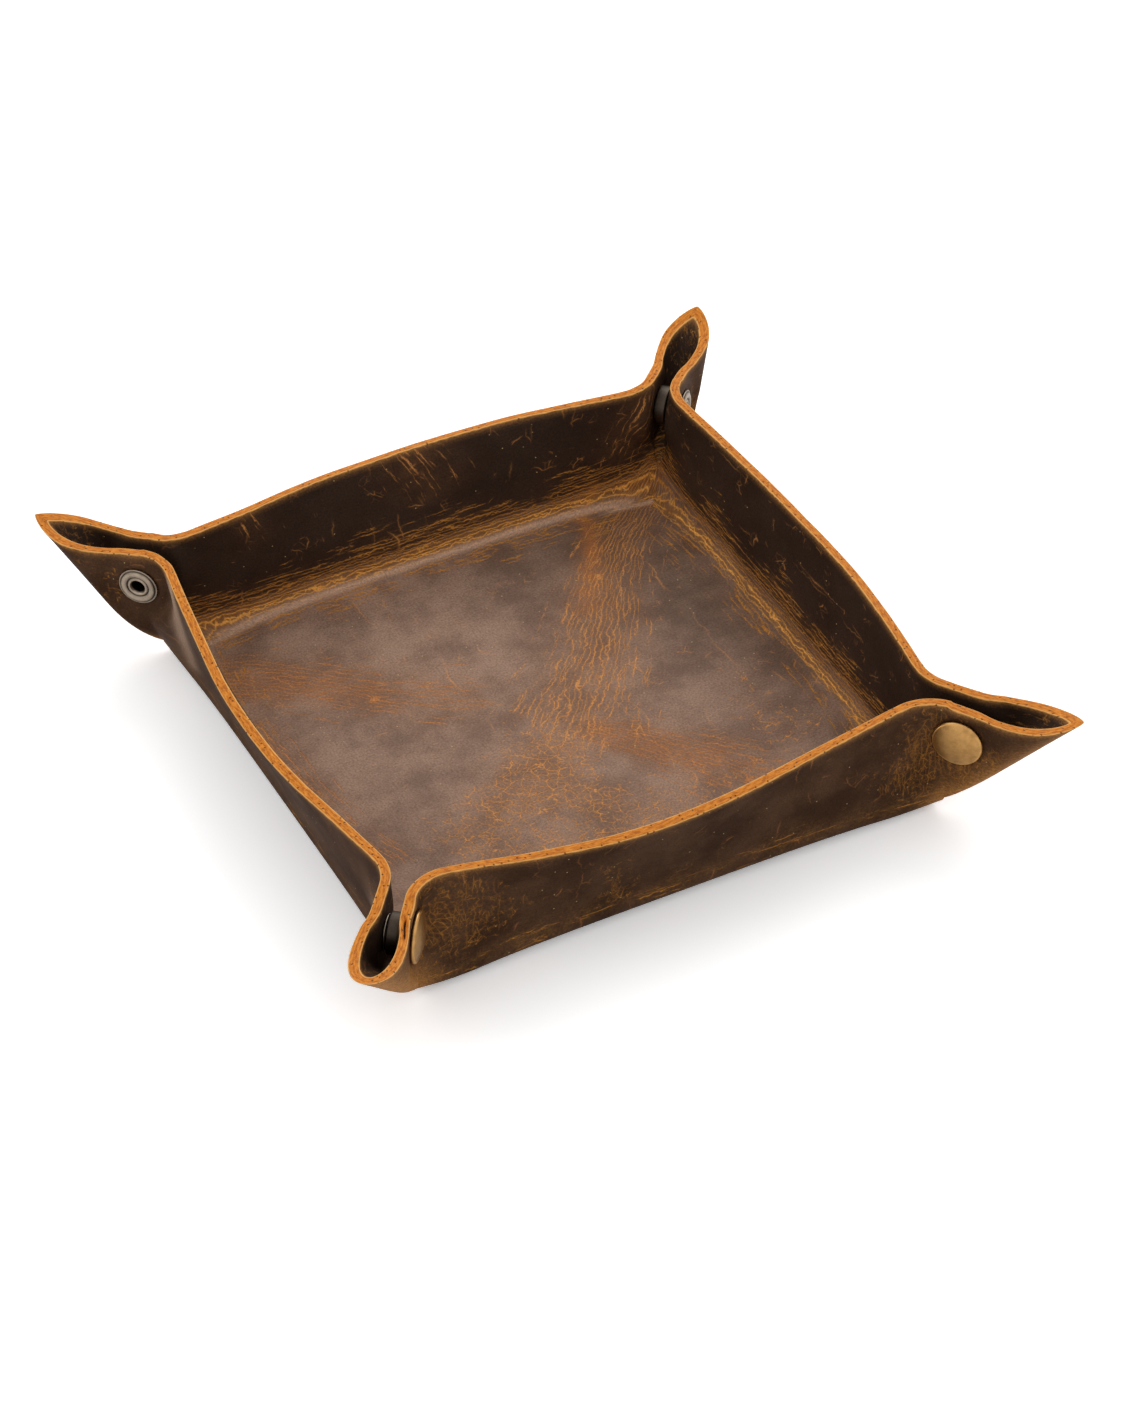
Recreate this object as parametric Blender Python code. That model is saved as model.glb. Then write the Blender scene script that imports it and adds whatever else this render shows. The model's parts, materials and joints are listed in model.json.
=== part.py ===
"""Accessory tray: one square of thick leather, creased along four sides and
pinched at its four corners, where a press stud holds each fold shut.

The frame is metres with +Z up, and the origin is the middle of the underside.
Wall 0 faces -Y. The other walls follow anticlockwise as seen from above, and
corner 0, at -X -Y, is where wall 3 ends and wall 0 starts.

A wall is worked out in its own frame: along it, outwards from its foot line,
and up. A corner is worked out in the frame of its ear, the pointed pocket that
the pinched leather makes: along the ear to its tip, across it, and up.
"""
import math

import bmesh
import bpy
from mathutils import Matrix, Vector

# The leather: its floor, the band folded up on each side of it, and where it is
# creased. It is cut as a square whose side is the floor's plus two flaps, 205 mm
FLOOR_SIDE = 0.140
FLAP = 0.0325
LEATHER = 0.0024
CREASE_RADIUS = 0.0038
CORNER_CREASE_RADIUS = 0.0012
FOLD_SLOPE_DEG = 47.6

# How far each wall's rim bows out at its fullest place, how far it stands out
# where it turns into the ears, and where along the wall it is fullest
WALL_BOW = (0.0049, 0.0042, 0.0072, 0.0076)
WALL_NECK = (-0.0040, 0.0001, 0.0002, 0.0010)
WALL_FULLEST = (-0.0100, -0.0140, -0.0040, 0.0000)

# The bend from wall to ear, and the pear shape of the ear seen from above
NECK_RADIUS = 0.0120
EAR_HALF_WIDTH = 0.0049
EAR_SAG = 0.0012
EAR_WIDEST_SHARE = 0.60
TIP_THICKNESS_SHARE = 1.5
NECK_SWAY_REACH = 0.0200

# The press stud: where it sits, and the room between the two leaves
STUD_REACH = 0.0030
STUD_HEIGHT = 0.0232
LEAF_GAP = 0.0042
SEAT = 0.0003
HOLE_RADIUS = 0.0024
FLAT_MARGIN = 0.0014
FLAT_FADE = 0.0040
OVERRUN = 0.0020

# Sheet metal of the stud's parts, and the domed cap with its rolled edge
METAL = 0.0004
CAP_RADIUS = 0.00625
CAP_RISE = 0.0021
CAP_ROLL = 0.0005
POST_RADIUS = 0.0019
POST_BORE = 0.0013
POST_FLARE = 0.0027

# The socket behind the cap, and the split ring spring in its groove
SOCKET_RADIUS = 0.0050
SOCKET_MOUTH = 0.0036
SPRING_GROOVE = 0.0040
SPRING_WIRE = 0.00044
SPRING_CLEARANCE = 0.0003
SPRING_SPLIT_DEG = 40.0

# The stud, its neck under the head, and the eyelet that rivets it on
STUD_FLANGE = 0.0043
STUD_NECK = 0.0029
STUD_HEAD = 0.0033
BARREL_RADIUS = 0.00205
BARREL_BORE = 0.00165
EYELET_RADIUS = 0.0050
EYELET_RISE = 0.0009
EYELET_MOUTH = 0.0020
EYELET_OUTER_SHARE = 1.2
EYELET_CREST_SHARE = 0.33
EYELET_INNER_SHARE = 0.6

# The leather's curves: the share of an ear's height at which its gap is fully open,
# how full a wall's bow is, how late a wall leans out, how blunt an ear's tip is, how
# late its rim climbs to the tip, and how close to the corners the creases tighten
FULL_GAP_SHARE = 0.52
BOW_FULLNESS = 1.35
RISE_CURVE = 1.3
TIP_SHARPNESS = 1.6
TIP_LIFT = 5
CREASE_TIGHTENING = 4

# The metal's curves: where the bead round the cap leaves its dome, and how sharp an
# edge is to be shaded as one
BEAD_START_DEG = 55.0
SHARP_EDGE_DEG = 35.0

# How finely the shapes are divided
CREASE_STEPS = 3
RISE_STEPS = 7
BOW_STEPS = 10
NECK_STEPS = 4
LEAF_STEPS = 5
TIP_STEPS = 4
ROUND_STEPS = 18
DOME_STEPS = 4
BEAD_STEPS = 2
WIRE_STEPS = 20
WIRE_SIDES = 6

# Worked out from the sizes above
HALF_FLOOR = FLOOR_SIDE / 2
FOLD_SLOPE = math.radians(FOLD_SLOPE_DEG)
# A rounded crease takes less leather than a square one, which lengthens the fold
CREASE_SPARE = (2 - math.pi / 2) * CORNER_CREASE_RADIUS
TIP_REACH = (FLAP + CREASE_SPARE) * math.cos(FOLD_SLOPE)
TIP_HEIGHT = (FLAP + CREASE_SPARE) * math.sqrt(2) * math.sin(FOLD_SLOPE)
LEAF_PLACE = (LEAF_GAP + LEATHER) / 2
MERGE_DISTANCE = SEAT / 100
CORNER_NAMES = ("front", "right", "back", "left")
CORNER_SIGNS = ((-1, -1), (1, -1), (1, 1), (-1, 1))


def smooth(share):
    """Ease a share from 0 to 1 with level ends."""
    share = min(max(share, 0.0), 1.0)
    return share * share * (3 - 2 * share)


def gap_growth(rise):
    """How much of the gap between an ear's leaves is open at a share of its height."""
    return 1 - (1 - min(rise / FULL_GAP_SHARE, 1)) ** 2


class Skin:
    """One face of the leather: the outer one, or the inner one a thickness inside it."""

    def __init__(self, outer):
        self.offset = LEATHER / 2 if outer else -LEATHER / 2
        self.inset = 0.0 if outer else LEATHER
        self.half_floor = HALF_FLOOR - self.inset
        self.crease = CREASE_RADIUS + LEATHER - self.inset
        self.corner_crease = CORNER_CREASE_RADIUS if outer else CREASE_RADIUS
        self.tip_inset = self.inset * TIP_THICKNESS_SHARE
        self.leaf = LEAF_PLACE + self.offset
        self.widest = EAR_HALF_WIDTH + self.offset

    def crease_radius(self, foot):
        """Radius of the crease at a place on the foot line, less near the corners."""
        share = abs(foot / self.half_floor) ** CREASE_TIGHTENING
        return self.crease + (self.corner_crease - self.crease) * share


class Corner:
    """The frame of an ear, from where the two walls' rims would cross to its tip."""

    def __init__(self, number):
        self.number = number
        self.name = CORNER_NAMES[number]
        self.signs = CORNER_SIGNS[number]
        # The wall that starts at this corner and the one that ends here
        self.start_neck = WALL_NECK[number]
        self.end_neck = WALL_NECK[number - 1]
        across_x, across_y = ((self.end_neck, self.start_neck) if number % 2 == 0
                              else (self.start_neck, self.end_neck))
        self.neck = Vector((self.signs[0] * (HALF_FLOOR + across_x),
                            self.signs[1] * (HALF_FLOOR + across_y), 0.0))
        tip = HALF_FLOOR + TIP_REACH
        self.tip = Vector((self.signs[0] * tip, self.signs[1] * tip, 0.0))
        self.length = (self.tip - self.neck).length
        self.along = (self.tip - self.neck).normalized()
        self.across = Vector((-self.along.y, self.along.x, 0.0))
        self.neck_height = rim_height((self.start_neck + self.end_neck) / 2 + LEATHER / 2)
        foot = Vector((self.signs[0] * HALF_FLOOR, self.signs[1] * HALF_FLOOR, 0.0))
        stud = foot + Vector((self.signs[0], self.signs[1], 0.0)).normalized() * STUD_REACH
        self.stud_along = (stud - self.neck).dot(self.along)
        self.stud = self.neck + self.along * self.stud_along + Vector((0, 0, STUD_HEIGHT))
        # Walls 0 and 2 carry the caps at both of their ends
        self.cap_side = 1 if number % 2 == 0 else -1

    def place(self, along, across, height):
        """A point of the ear's frame in the tray's frame."""
        return self.neck + self.along * along + self.across * across + Vector((0, 0, height))

    def flatten(self, point, side, skin):
        """Press a point of a leaf into the flat seat round the stud."""
        flat = point - self.neck
        across = flat.dot(self.across)
        reach = math.hypot(flat.dot(self.along) - self.stud_along, point.z - STUD_HEIGHT)
        hold = 1 - smooth((reach - CAP_RADIUS - FLAT_MARGIN) / FLAT_FADE)
        return point + self.across * (hold * (side * skin.leaf - across))

    def foot(self, skin):
        """Where the ear starts from the creases, on one skin."""
        return Vector((self.signs[0] * skin.half_floor, self.signs[1] * skin.half_floor,
                       skin.inset + skin.corner_crease))


def rim_height(lean):
    """Height of a flap's edge when it leans out by so much at the top."""
    return math.sqrt(FLAP ** 2 - lean ** 2)


def wall_place(wall, along, out, height):
    """A point of a wall's frame in the tray's frame."""
    point = Vector((along, -HALF_FLOOR - out, height))
    return Matrix.Rotation(wall * math.pi / 2, 3, "Z") @ point


def bend_to_ear(wall, end):
    """Where a wall's rim leaves its line, and the angle it turns through into the ear.

    The rim's line and the leaf's line are joined by an arc that touches both.
    """
    neck = WALL_NECK[wall]
    other = WALL_NECK[(wall + end) % 4]
    turn = math.atan2(TIP_REACH - neck, TIP_REACH - other)
    meeting = HALF_FLOOR + other - LEAF_PLACE / math.sin(turn)
    return meeting - NECK_RADIUS * math.tan(turn / 2), turn


def leaf_start(wall, end):
    """How far along the ear its leaf starts, where the arc from the wall ends."""
    turn = bend_to_ear(wall, end)[1]
    return NECK_RADIUS * math.tan(turn / 2) - LEAF_PLACE / math.tan(turn)


def rim_of_wall(wall, skin):
    """The rim of a wall as (along, out, place on the foot line, nearest end)."""
    neck, bow, fullest = WALL_NECK[wall], WALL_BOW[wall], WALL_FULLEST[wall]
    start, start_turn = bend_to_ear(wall, -1)
    stop, stop_turn = bend_to_ear(wall, 1)
    points = []

    def add_arc(line_end, turn, end, step):
        angle = turn * step / NECK_STEPS
        radius = NECK_RADIUS - skin.offset
        along = line_end + radius * math.sin(angle)
        out = neck + NECK_RADIUS - radius * math.cos(angle)
        foot = (line_end + NECK_RADIUS * angle) / (line_end + NECK_RADIUS * turn)
        points.append((end * along, out, end * foot * skin.half_floor, end))

    for step in range(NECK_STEPS, 0, -1):
        add_arc(start, start_turn, -1, step)
    for step in range(BOW_STEPS + 1):
        along = -start + (start + stop) * step / BOW_STEPS
        reach = stop - fullest if along > fullest else start + fullest
        share = (along - fullest) / reach
        full = max(1 - share ** 2, 0) ** BOW_FULLNESS
        out = neck + (bow - neck) * full + skin.offset
        end, line_end, turn = (1, stop, stop_turn) if along > 0 else (-1, start, start_turn)
        foot = along / (line_end + NECK_RADIUS * turn)
        points.append((along, out, foot * skin.half_floor, end))
    for step in range(1, NECK_STEPS + 1):
        add_arc(stop, stop_turn, 1, step)
    return points


def wall_columns(wall, skin, corners):
    """Each column of a wall's points, from the edge of the flat floor up to the rim."""
    columns = []
    for along, out, foot, end in rim_of_wall(wall, skin):
        radius = skin.crease_radius(foot)
        column = []
        for step in range(CREASE_STEPS + 1):
            angle = step / CREASE_STEPS * math.pi / 2
            inset = 1 - math.sin(angle)
            near = foot * (1 - skin.corner_crease * inset / skin.half_floor)
            column.append(wall_place(wall, near, -skin.inset - radius * inset,
                                     skin.inset + radius * (1 - math.cos(angle))))
        corner = corners[wall] if end < 0 else corners[(wall + 1) % 4]
        side = 1 if end < 0 else -1
        sway = smooth(1 + (abs(foot) - skin.half_floor) / NECK_SWAY_REACH)
        across_foot = (corner.foot(skin) - corner.neck).dot(corner.across)
        lean = out + LEATHER / 2 - skin.offset
        top = rim_height(lean) - skin.offset * lean / FLAP
        if abs(abs(foot) - skin.half_floor) < SEAT:
            top = corner.neck_height
        top += (corner.neck_height - top) * sway
        for step in range(1, RISE_STEPS + 1):
            rise = step / RISE_STEPS
            curve = rise ** (1 + (RISE_CURVE - 1) * (1 - sway))
            point = wall_place(wall, foot + (along - foot) * rise,
                               -skin.inset + (out + skin.inset) * curve,
                               skin.inset + radius + (top - skin.inset - radius) * rise)
            opened = (gap_growth(rise) - rise) * (side * skin.leaf - across_foot)
            point += corner.across * (sway * opened)
            column.append(corner.flatten(point, side, skin))
        columns.append(column)
    return columns


def ear_rim(corner, skin, side):
    """The rim of one leaf as (along the ear, half width), from the neck to the tip."""
    wall, end = (corner.number, -1) if side > 0 else (corner.number - 1, 1)
    start = leaf_start(wall, end)
    tip = corner.length - skin.tip_inset
    widest = start + (tip - start) * EAR_WIDEST_SHARE
    points = []
    for step in range(1, LEAF_STEPS + 1):
        share = step / LEAF_STEPS
        width = skin.leaf + (skin.widest - skin.leaf) * smooth(share)
        points.append((start + (widest - start) * share, width))
    for step in range(1, TIP_STEPS + 1):
        angle = step / TIP_STEPS * math.pi / 2
        closing = max(math.cos(angle), 0) ** TIP_SHARPNESS if step < TIP_STEPS else 0.0
        points.append((widest + (tip - widest) * math.sin(angle), skin.widest * closing))
    return points


def ear_column(corner, skin, side, along, width):
    """One column of an ear, a straight fan line from its foot with the gap opening early."""
    foot = corner.foot(skin)
    along_foot = (foot - corner.neck).dot(corner.along)
    across_foot = (foot - corner.neck).dot(corner.across)
    share = min(max(along / corner.length, 0.0), 1.0)
    lift = (TIP_HEIGHT - corner.neck_height) * share ** TIP_LIFT
    top = corner.neck_height - EAR_SAG * math.sin(math.pi * share) + lift
    column = []
    for step in range(1, RISE_STEPS + 1):
        rise = step / RISE_STEPS
        opened = gap_growth(rise)
        straight = rise + (opened - rise) * min(width / skin.leaf, 1)
        point = corner.place(along_foot + (along - along_foot) * rise,
                             across_foot * (1 - straight) + side * width * opened,
                             foot.z + (top - foot.z) * rise)
        column.append(corner.flatten(point, side, skin))
    return column


def skin_columns(skin, corners):
    """All columns round the tray, each with whether it is an ear's."""
    columns = []
    for wall in range(4):
        corner = corners[wall]
        leaf = ear_rim(corner, skin, -1)
        for along, width in leaf:
            columns.append((True, ear_column(corner, skin, -1, along, width)))
        for along, width in reversed(ear_rim(corner, skin, 1)[:-1]):
            columns.append((True, ear_column(corner, skin, 1, along, width)))
        columns.extend((False, column) for column in wall_columns(wall, skin, corners))
    return columns


def add_skin(mesh, skin, corners):
    """Add a skin's points and return their grid, column by column.

    Below the ears the columns of a corner share the points of its crease.
    """
    columns = skin_columns(skin, corners)
    grid = [None] * len(columns)
    count = len(columns)
    for number, (in_ear, points) in enumerate(columns):
        if not in_ear:
            grid[number] = [mesh.verts.new(point) for point in points]
    for number, (in_ear, points) in enumerate(columns):
        if in_ear:
            before = number
            while columns[before][0]:
                before = (before - 1) % count
            shared = grid[before][:CREASE_STEPS + 1]
            grid[number] = shared + [mesh.verts.new(point) for point in points]
    # A wall's first column stands on the same crease points as the wall before it ends on
    for number, (in_ear, points) in enumerate(columns):
        if not in_ear and columns[number - 1][0]:
            for row in range(CREASE_STEPS + 1):
                old = grid[number][row]
                grid[number][row] = grid[number - 1][row]
                mesh.verts.remove(old)
    return grid


def add_face(mesh, verts):
    """Add a face, or a smaller one where some of its points are shared."""
    kept = []
    for vert in verts:
        if vert not in kept:
            kept.append(vert)
    if len(kept) > 2:
        mesh.faces.new(kept)


def skin_faces(mesh, grid, inwards):
    """Fill a skin's grid with faces, and its floor with one flat face."""
    count = len(grid)
    for number in range(count):
        here, after = grid[number], grid[(number + 1) % count]
        for row in range(CREASE_STEPS + RISE_STEPS):
            face = [here[row], after[row], after[row + 1], here[row + 1]]
            add_face(mesh, face[::-1] if inwards else face)
    floor = [column[0] for column in grid]
    add_face(mesh, floor if inwards else floor[::-1])


def make_leather(corners):
    """The whole sheet: an outer and an inner skin joined round the cut edge."""
    mesh = bmesh.new()
    outer = add_skin(mesh, Skin(True), corners)
    inner = add_skin(mesh, Skin(False), corners)
    skin_faces(mesh, outer, False)
    skin_faces(mesh, inner, True)
    for number in range(len(outer)):
        after = (number + 1) % len(outer)
        mesh.faces.new([outer[number][-1], outer[after][-1], inner[after][-1], inner[number][-1]])
    return finish_mesh(mesh, "leather_sheet", LEATHER_FINISH)


def make_material(name, colour, roughness, metallic):
    """A plain finish for one kind of material."""
    material = bpy.data.materials.new(name)
    material.use_nodes = True
    shader = material.node_tree.nodes["Principled BSDF"]
    shader.inputs["Base Color"].default_value = (*colour, 1.0)
    shader.inputs["Roughness"].default_value = roughness
    shader.inputs["Metallic"].default_value = metallic
    material.diffuse_color = (*colour, 1.0)
    return material


def finish_mesh(mesh, name, material):
    """Turn a bmesh into a named object in the scene, smooth but for its sharp edges."""
    data = bpy.data.meshes.new(name)
    mesh.normal_update()
    mesh.to_mesh(data)
    mesh.free()
    data.shade_smooth()
    data.set_sharp_from_angle(angle=math.radians(SHARP_EDGE_DEG))
    data.materials.append(material)
    item = bpy.data.objects.new(name, data)
    bpy.context.scene.collection.objects.link(item)
    return item


def turned(name, profile, material):
    """Turn a profile of (radius, height) round Z.

    A profile that starts and ends on the axis closes there, and any other is a ring.
    """
    mesh = bmesh.new()
    verts = [mesh.verts.new((radius, 0.0, height)) for radius, height in profile]
    pairs = list(zip(verts, verts[1:]))
    if profile[0][0] > 0 or profile[-1][0] > 0:
        pairs.append((verts[-1], verts[0]))
    edges = [mesh.edges.new(pair) for pair in pairs]
    bmesh.ops.spin(mesh, geom=verts + edges, cent=(0, 0, 0), axis=(0, 0, 1),
                   angle=2 * math.pi, steps=ROUND_STEPS, use_merge=True)
    bmesh.ops.remove_doubles(mesh, verts=mesh.verts, dist=MERGE_DISTANCE)
    bmesh.ops.recalc_face_normals(mesh, faces=mesh.faces)
    return finish_mesh(mesh, name, material)


def arc(centre, radius, start_deg, stop_deg, steps):
    """Points of an arc in a profile, from one angle to another."""
    points = []
    for step in range(steps + 1):
        angle = math.radians(start_deg + (stop_deg - start_deg) * step / steps)
        points.append((centre[0] + radius * math.cos(angle), centre[1] + radius * math.sin(angle)))
    return points


def set_on_axis(item, corner):
    """Stand a turned piece on the stud's line, its own Z pointing to the cap."""
    axis = corner.across * corner.cap_side
    side = corner.along
    turn = Matrix((side, axis.cross(side), axis)).transposed()
    item.matrix_world = Matrix.Translation(corner.stud) @ turn.to_4x4()


# Heights along the stud's line, from the middle of the gap towards the cap
CAP_SEAT = LEAF_GAP / 2 + LEATHER + SEAT
SOCKET_BACK = LEAF_GAP / 2 - SEAT
SOCKET_INSIDE = SOCKET_BACK - METAL
STUD_SEAT = -SOCKET_BACK
STUD_PLATE_TOP = STUD_SEAT + METAL
SOCKET_LIP = STUD_PLATE_TOP + SEAT
FLARE_TOP = SOCKET_INSIDE - SEAT
FLARE_BOTTOM = FLARE_TOP - METAL
HEAD_TOP = FLARE_BOTTOM - SEAT
SPRING_HEIGHT = SOCKET_LIP + METAL + SPRING_WIRE / 2
EYELET_SEAT = -CAP_SEAT


def make_cap(name):
    """The domed cap: a thin shell with a rolled edge, and the post riveted into the socket."""
    dome_rise = CAP_RISE - CAP_ROLL
    dome_edge = CAP_RADIUS - CAP_ROLL
    bulge = (dome_edge ** 2 + dome_rise ** 2) / (2 * dome_rise)
    top = CAP_SEAT + CAP_RISE
    crown = math.degrees(math.asin(dome_edge / bulge))
    dome = arc((0.0, top - bulge), bulge, 90.0, 90.0 - crown, DOME_STEPS)
    dome[0] = (0.0, top)
    bead = arc((dome_edge, CAP_SEAT + CAP_ROLL), CAP_ROLL, BEAD_START_DEG, -90.0, BEAD_STEPS)
    under = [(dome_edge - CAP_ROLL, CAP_SEAT + CAP_ROLL),
             (POST_RADIUS + METAL, top - METAL * 2),
             (POST_RADIUS, CAP_SEAT + CAP_ROLL)]
    post = [(POST_RADIUS, FLARE_TOP),
            (POST_FLARE, FLARE_TOP - METAL / 2),
            (POST_FLARE - METAL / 2, FLARE_BOTTOM),
            (POST_BORE, FLARE_BOTTOM),
            (POST_BORE, CAP_SEAT),
            (0.0, CAP_SEAT)]
    return turned(name, dome + bead + under + post, BRASS_FINISH)


def make_socket(name):
    """The socket: a rolled ring on a back plate, with the groove that holds the spring."""
    outside = SOCKET_RADIUS - METAL
    groove_top = SPRING_HEIGHT + SPRING_WIRE + SEAT
    body = arc((outside, SOCKET_BACK - METAL), METAL, 90.0, 0.0, BEAD_STEPS)
    mouth = arc((outside, SOCKET_LIP + METAL), METAL, 0.0, -90.0, BEAD_STEPS)
    inside = [(SOCKET_MOUTH, SOCKET_LIP),
              (SOCKET_MOUTH, SOCKET_LIP + METAL / 2),
              (SPRING_GROOVE, SOCKET_LIP + METAL * 2 / 3),
              (SPRING_GROOVE, groove_top),
              (SOCKET_MOUTH, groove_top + SEAT),
              (SOCKET_MOUTH, SOCKET_INSIDE)]
    plate = [(POST_RADIUS + SEAT, SOCKET_INSIDE), (POST_RADIUS + SEAT, SOCKET_BACK)]
    return turned(name, body + mouth + inside + plate, NICKEL_FINISH)


def make_spring(name):
    """The socket's spring: a ring of wire with a split, which the stud's head opens."""
    mesh = bmesh.new()
    radius = STUD_NECK + SPRING_CLEARANCE + SPRING_WIRE / 2
    split = math.radians(SPRING_SPLIT_DEG)
    rings = []
    for step in range(WIRE_STEPS + 1):
        angle = split / 2 + (2 * math.pi - split) * step / WIRE_STEPS
        out = Vector((math.cos(angle), math.sin(angle), 0.0))
        ring = []
        for side in range(WIRE_SIDES):
            turn = 2 * math.pi * side / WIRE_SIDES
            offset = out * math.cos(turn) + Vector((0, 0, math.sin(turn)))
            centre = out * radius + Vector((0, 0, SPRING_HEIGHT))
            ring.append(mesh.verts.new(centre + offset * (SPRING_WIRE / 2)))
        rings.append(ring)
    for first, second in zip(rings, rings[1:]):
        for side in range(WIRE_SIDES):
            after = (side + 1) % WIRE_SIDES
            mesh.faces.new([first[side], first[after], second[after], second[side]])
    mesh.faces.new(rings[0])
    mesh.faces.new(rings[-1][::-1])
    bmesh.ops.recalc_face_normals(mesh, faces=mesh.faces)
    return finish_mesh(mesh, name, STEEL_FINISH)


def make_stud(name):
    """The stud: a flange and a hollow boss with a neck that the spring grips.

    The head is rounded off towards its top, so that it can rock out of the socket.
    """
    bore = BARREL_RADIUS + SEAT
    head = SPRING_HEIGHT + SPRING_WIRE
    chamfer = METAL / 2
    profile = [(bore, STUD_SEAT),
               (STUD_FLANGE - chamfer, STUD_SEAT),
               (STUD_FLANGE, STUD_SEAT + chamfer),
               (STUD_FLANGE - chamfer, STUD_PLATE_TOP),
               (STUD_HEAD, STUD_PLATE_TOP),
               (STUD_NECK, STUD_PLATE_TOP + SEAT),
               (STUD_NECK, SPRING_HEIGHT + SPRING_WIRE / 4),
               (STUD_HEAD, head),
               (STUD_HEAD - chamfer, head + chamfer),
               (STUD_HEAD - METAL, HEAD_TOP),
               (bore + METAL, HEAD_TOP),
               (bore, HEAD_TOP - METAL)]
    return turned(name, profile, NICKEL_FINISH)


def make_eyelet(name):
    """The eyelet: a ringed flange with a barrel flared in the mouth of the stud's boss."""
    ring = (EYELET_RADIUS + EYELET_MOUTH) / 2
    crest = EYELET_SEAT - EYELET_RISE
    washer = EYELET_SEAT - METAL
    flare = HEAD_TOP - SEAT
    half_ring = (EYELET_RADIUS - EYELET_MOUTH) / 4
    profile = [(BARREL_RADIUS, EYELET_SEAT),
               (EYELET_RADIUS, EYELET_SEAT),
               (EYELET_RADIUS, washer),
               (ring + half_ring * EYELET_OUTER_SHARE, washer),
               (ring + half_ring, crest + METAL / 3),
               (ring + half_ring * EYELET_CREST_SHARE, crest),
               (ring - half_ring * EYELET_INNER_SHARE, crest + METAL / 3),
               (ring - half_ring, washer),
               (EYELET_MOUTH + METAL, crest + METAL / 2),
               (EYELET_MOUTH, crest + METAL / 2),
               (BARREL_BORE, EYELET_SEAT),
               (BARREL_BORE, flare),
               (BARREL_RADIUS + SEAT / 2, flare),
               (BARREL_RADIUS, flare - METAL / 2)]
    return turned(name, profile, NICKEL_FINISH)


def make_cutter(name, corner):
    """The punch for the holes in both leaves of an ear."""
    reach = LEAF_PLACE + LEATHER + OVERRUN
    profile = [(0.0, reach), (HOLE_RADIUS, reach), (HOLE_RADIUS, -reach), (0.0, -reach)]
    cutter = turned(name, profile, LEATHER_FINISH)
    cutter.hide_render = True
    cutter.display_type = "WIRE"
    set_on_axis(cutter, corner)
    return cutter


def punch(item, cutter):
    """Cut a hole through the leather."""
    modifier = item.modifiers.new(cutter.name, "BOOLEAN")
    modifier.object = cutter
    modifier.operation = "DIFFERENCE"
    modifier.solver = "EXACT"


def fold_line(corner):
    """A point on the ear's fold, mid way through the leather, and the way the fold rises."""
    foot = Vector((corner.signs[0] * HALF_FLOOR, corner.signs[1] * HALF_FLOOR, 0.0))
    tip = corner.tip + Vector((0, 0, TIP_HEIGHT))
    rise = (tip - foot).normalized()
    outward = Vector((corner.signs[0], corner.signs[1], 0.0)).normalized()
    inward = (Vector((0, 0, 1)) - rise * rise.z).normalized()
    if inward.dot(outward) > 0:
        inward = -inward
    return (foot + tip) / 2 + inward * (LEATHER / 2), rise


def add_stud_group(corner):
    """One press stud: three pieces fixed to the cap's leaf, two that swing with the other."""
    for piece, maker in (("cap", make_cap), ("socket", make_socket), ("spring", make_spring)):
        set_on_axis(maker(corner.name + "_" + piece), corner)
    pivot = bpy.data.objects.new(corner.name + "_fold", None)
    bpy.context.scene.collection.objects.link(pivot)
    middle, rise = fold_line(corner)
    turn = rise.to_track_quat("Z", "Y").to_matrix()
    pivot.matrix_world = Matrix.Translation(middle) @ turn.to_4x4()
    for piece, maker in (("stud", make_stud), ("eyelet", make_eyelet)):
        item = maker(corner.name + "_" + piece)
        set_on_axis(item, corner)
        item.parent = pivot
        item.matrix_parent_inverse = pivot.matrix_world.inverted()


for stale in list(bpy.data.objects):
    bpy.data.objects.remove(stale, do_unlink=True)

LEATHER_FINISH = make_material("oiled_leather", (0.060, 0.034, 0.022), 0.62, 0.0)
BRASS_FINISH = make_material("antique_brass", (0.42, 0.28, 0.11), 0.38, 1.0)
NICKEL_FINISH = make_material("aged_nickel", (0.46, 0.38, 0.30), 0.36, 1.0)
STEEL_FINISH = make_material("spring_steel", (0.50, 0.50, 0.50), 0.30, 1.0)

CORNERS = [Corner(number) for number in range(4)]
SHEET = make_leather(CORNERS)
for tray_corner in CORNERS:
    punch(SHEET, make_cutter(tray_corner.name + "_punch", tray_corner))
    add_stud_group(tray_corner)
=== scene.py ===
"""Looks of the accessory tray: one folded sheet of oiled leather and four press studs.

The frame is metres with +Z up, and the origin is the middle of the underside. Wall 0
faces -Y, and the other walls follow anticlockwise as seen from above. Corner 0, at
-X -Y, is where wall 3 ends and wall 0 starts.
"""

import json
import logging
import math
from dataclasses import dataclass, field
from enum import Enum
from functools import partial, reduce
from typing import Optional, Sequence, Union

import bpy
import numpy as np
from mathutils import Matrix, Vector

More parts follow.
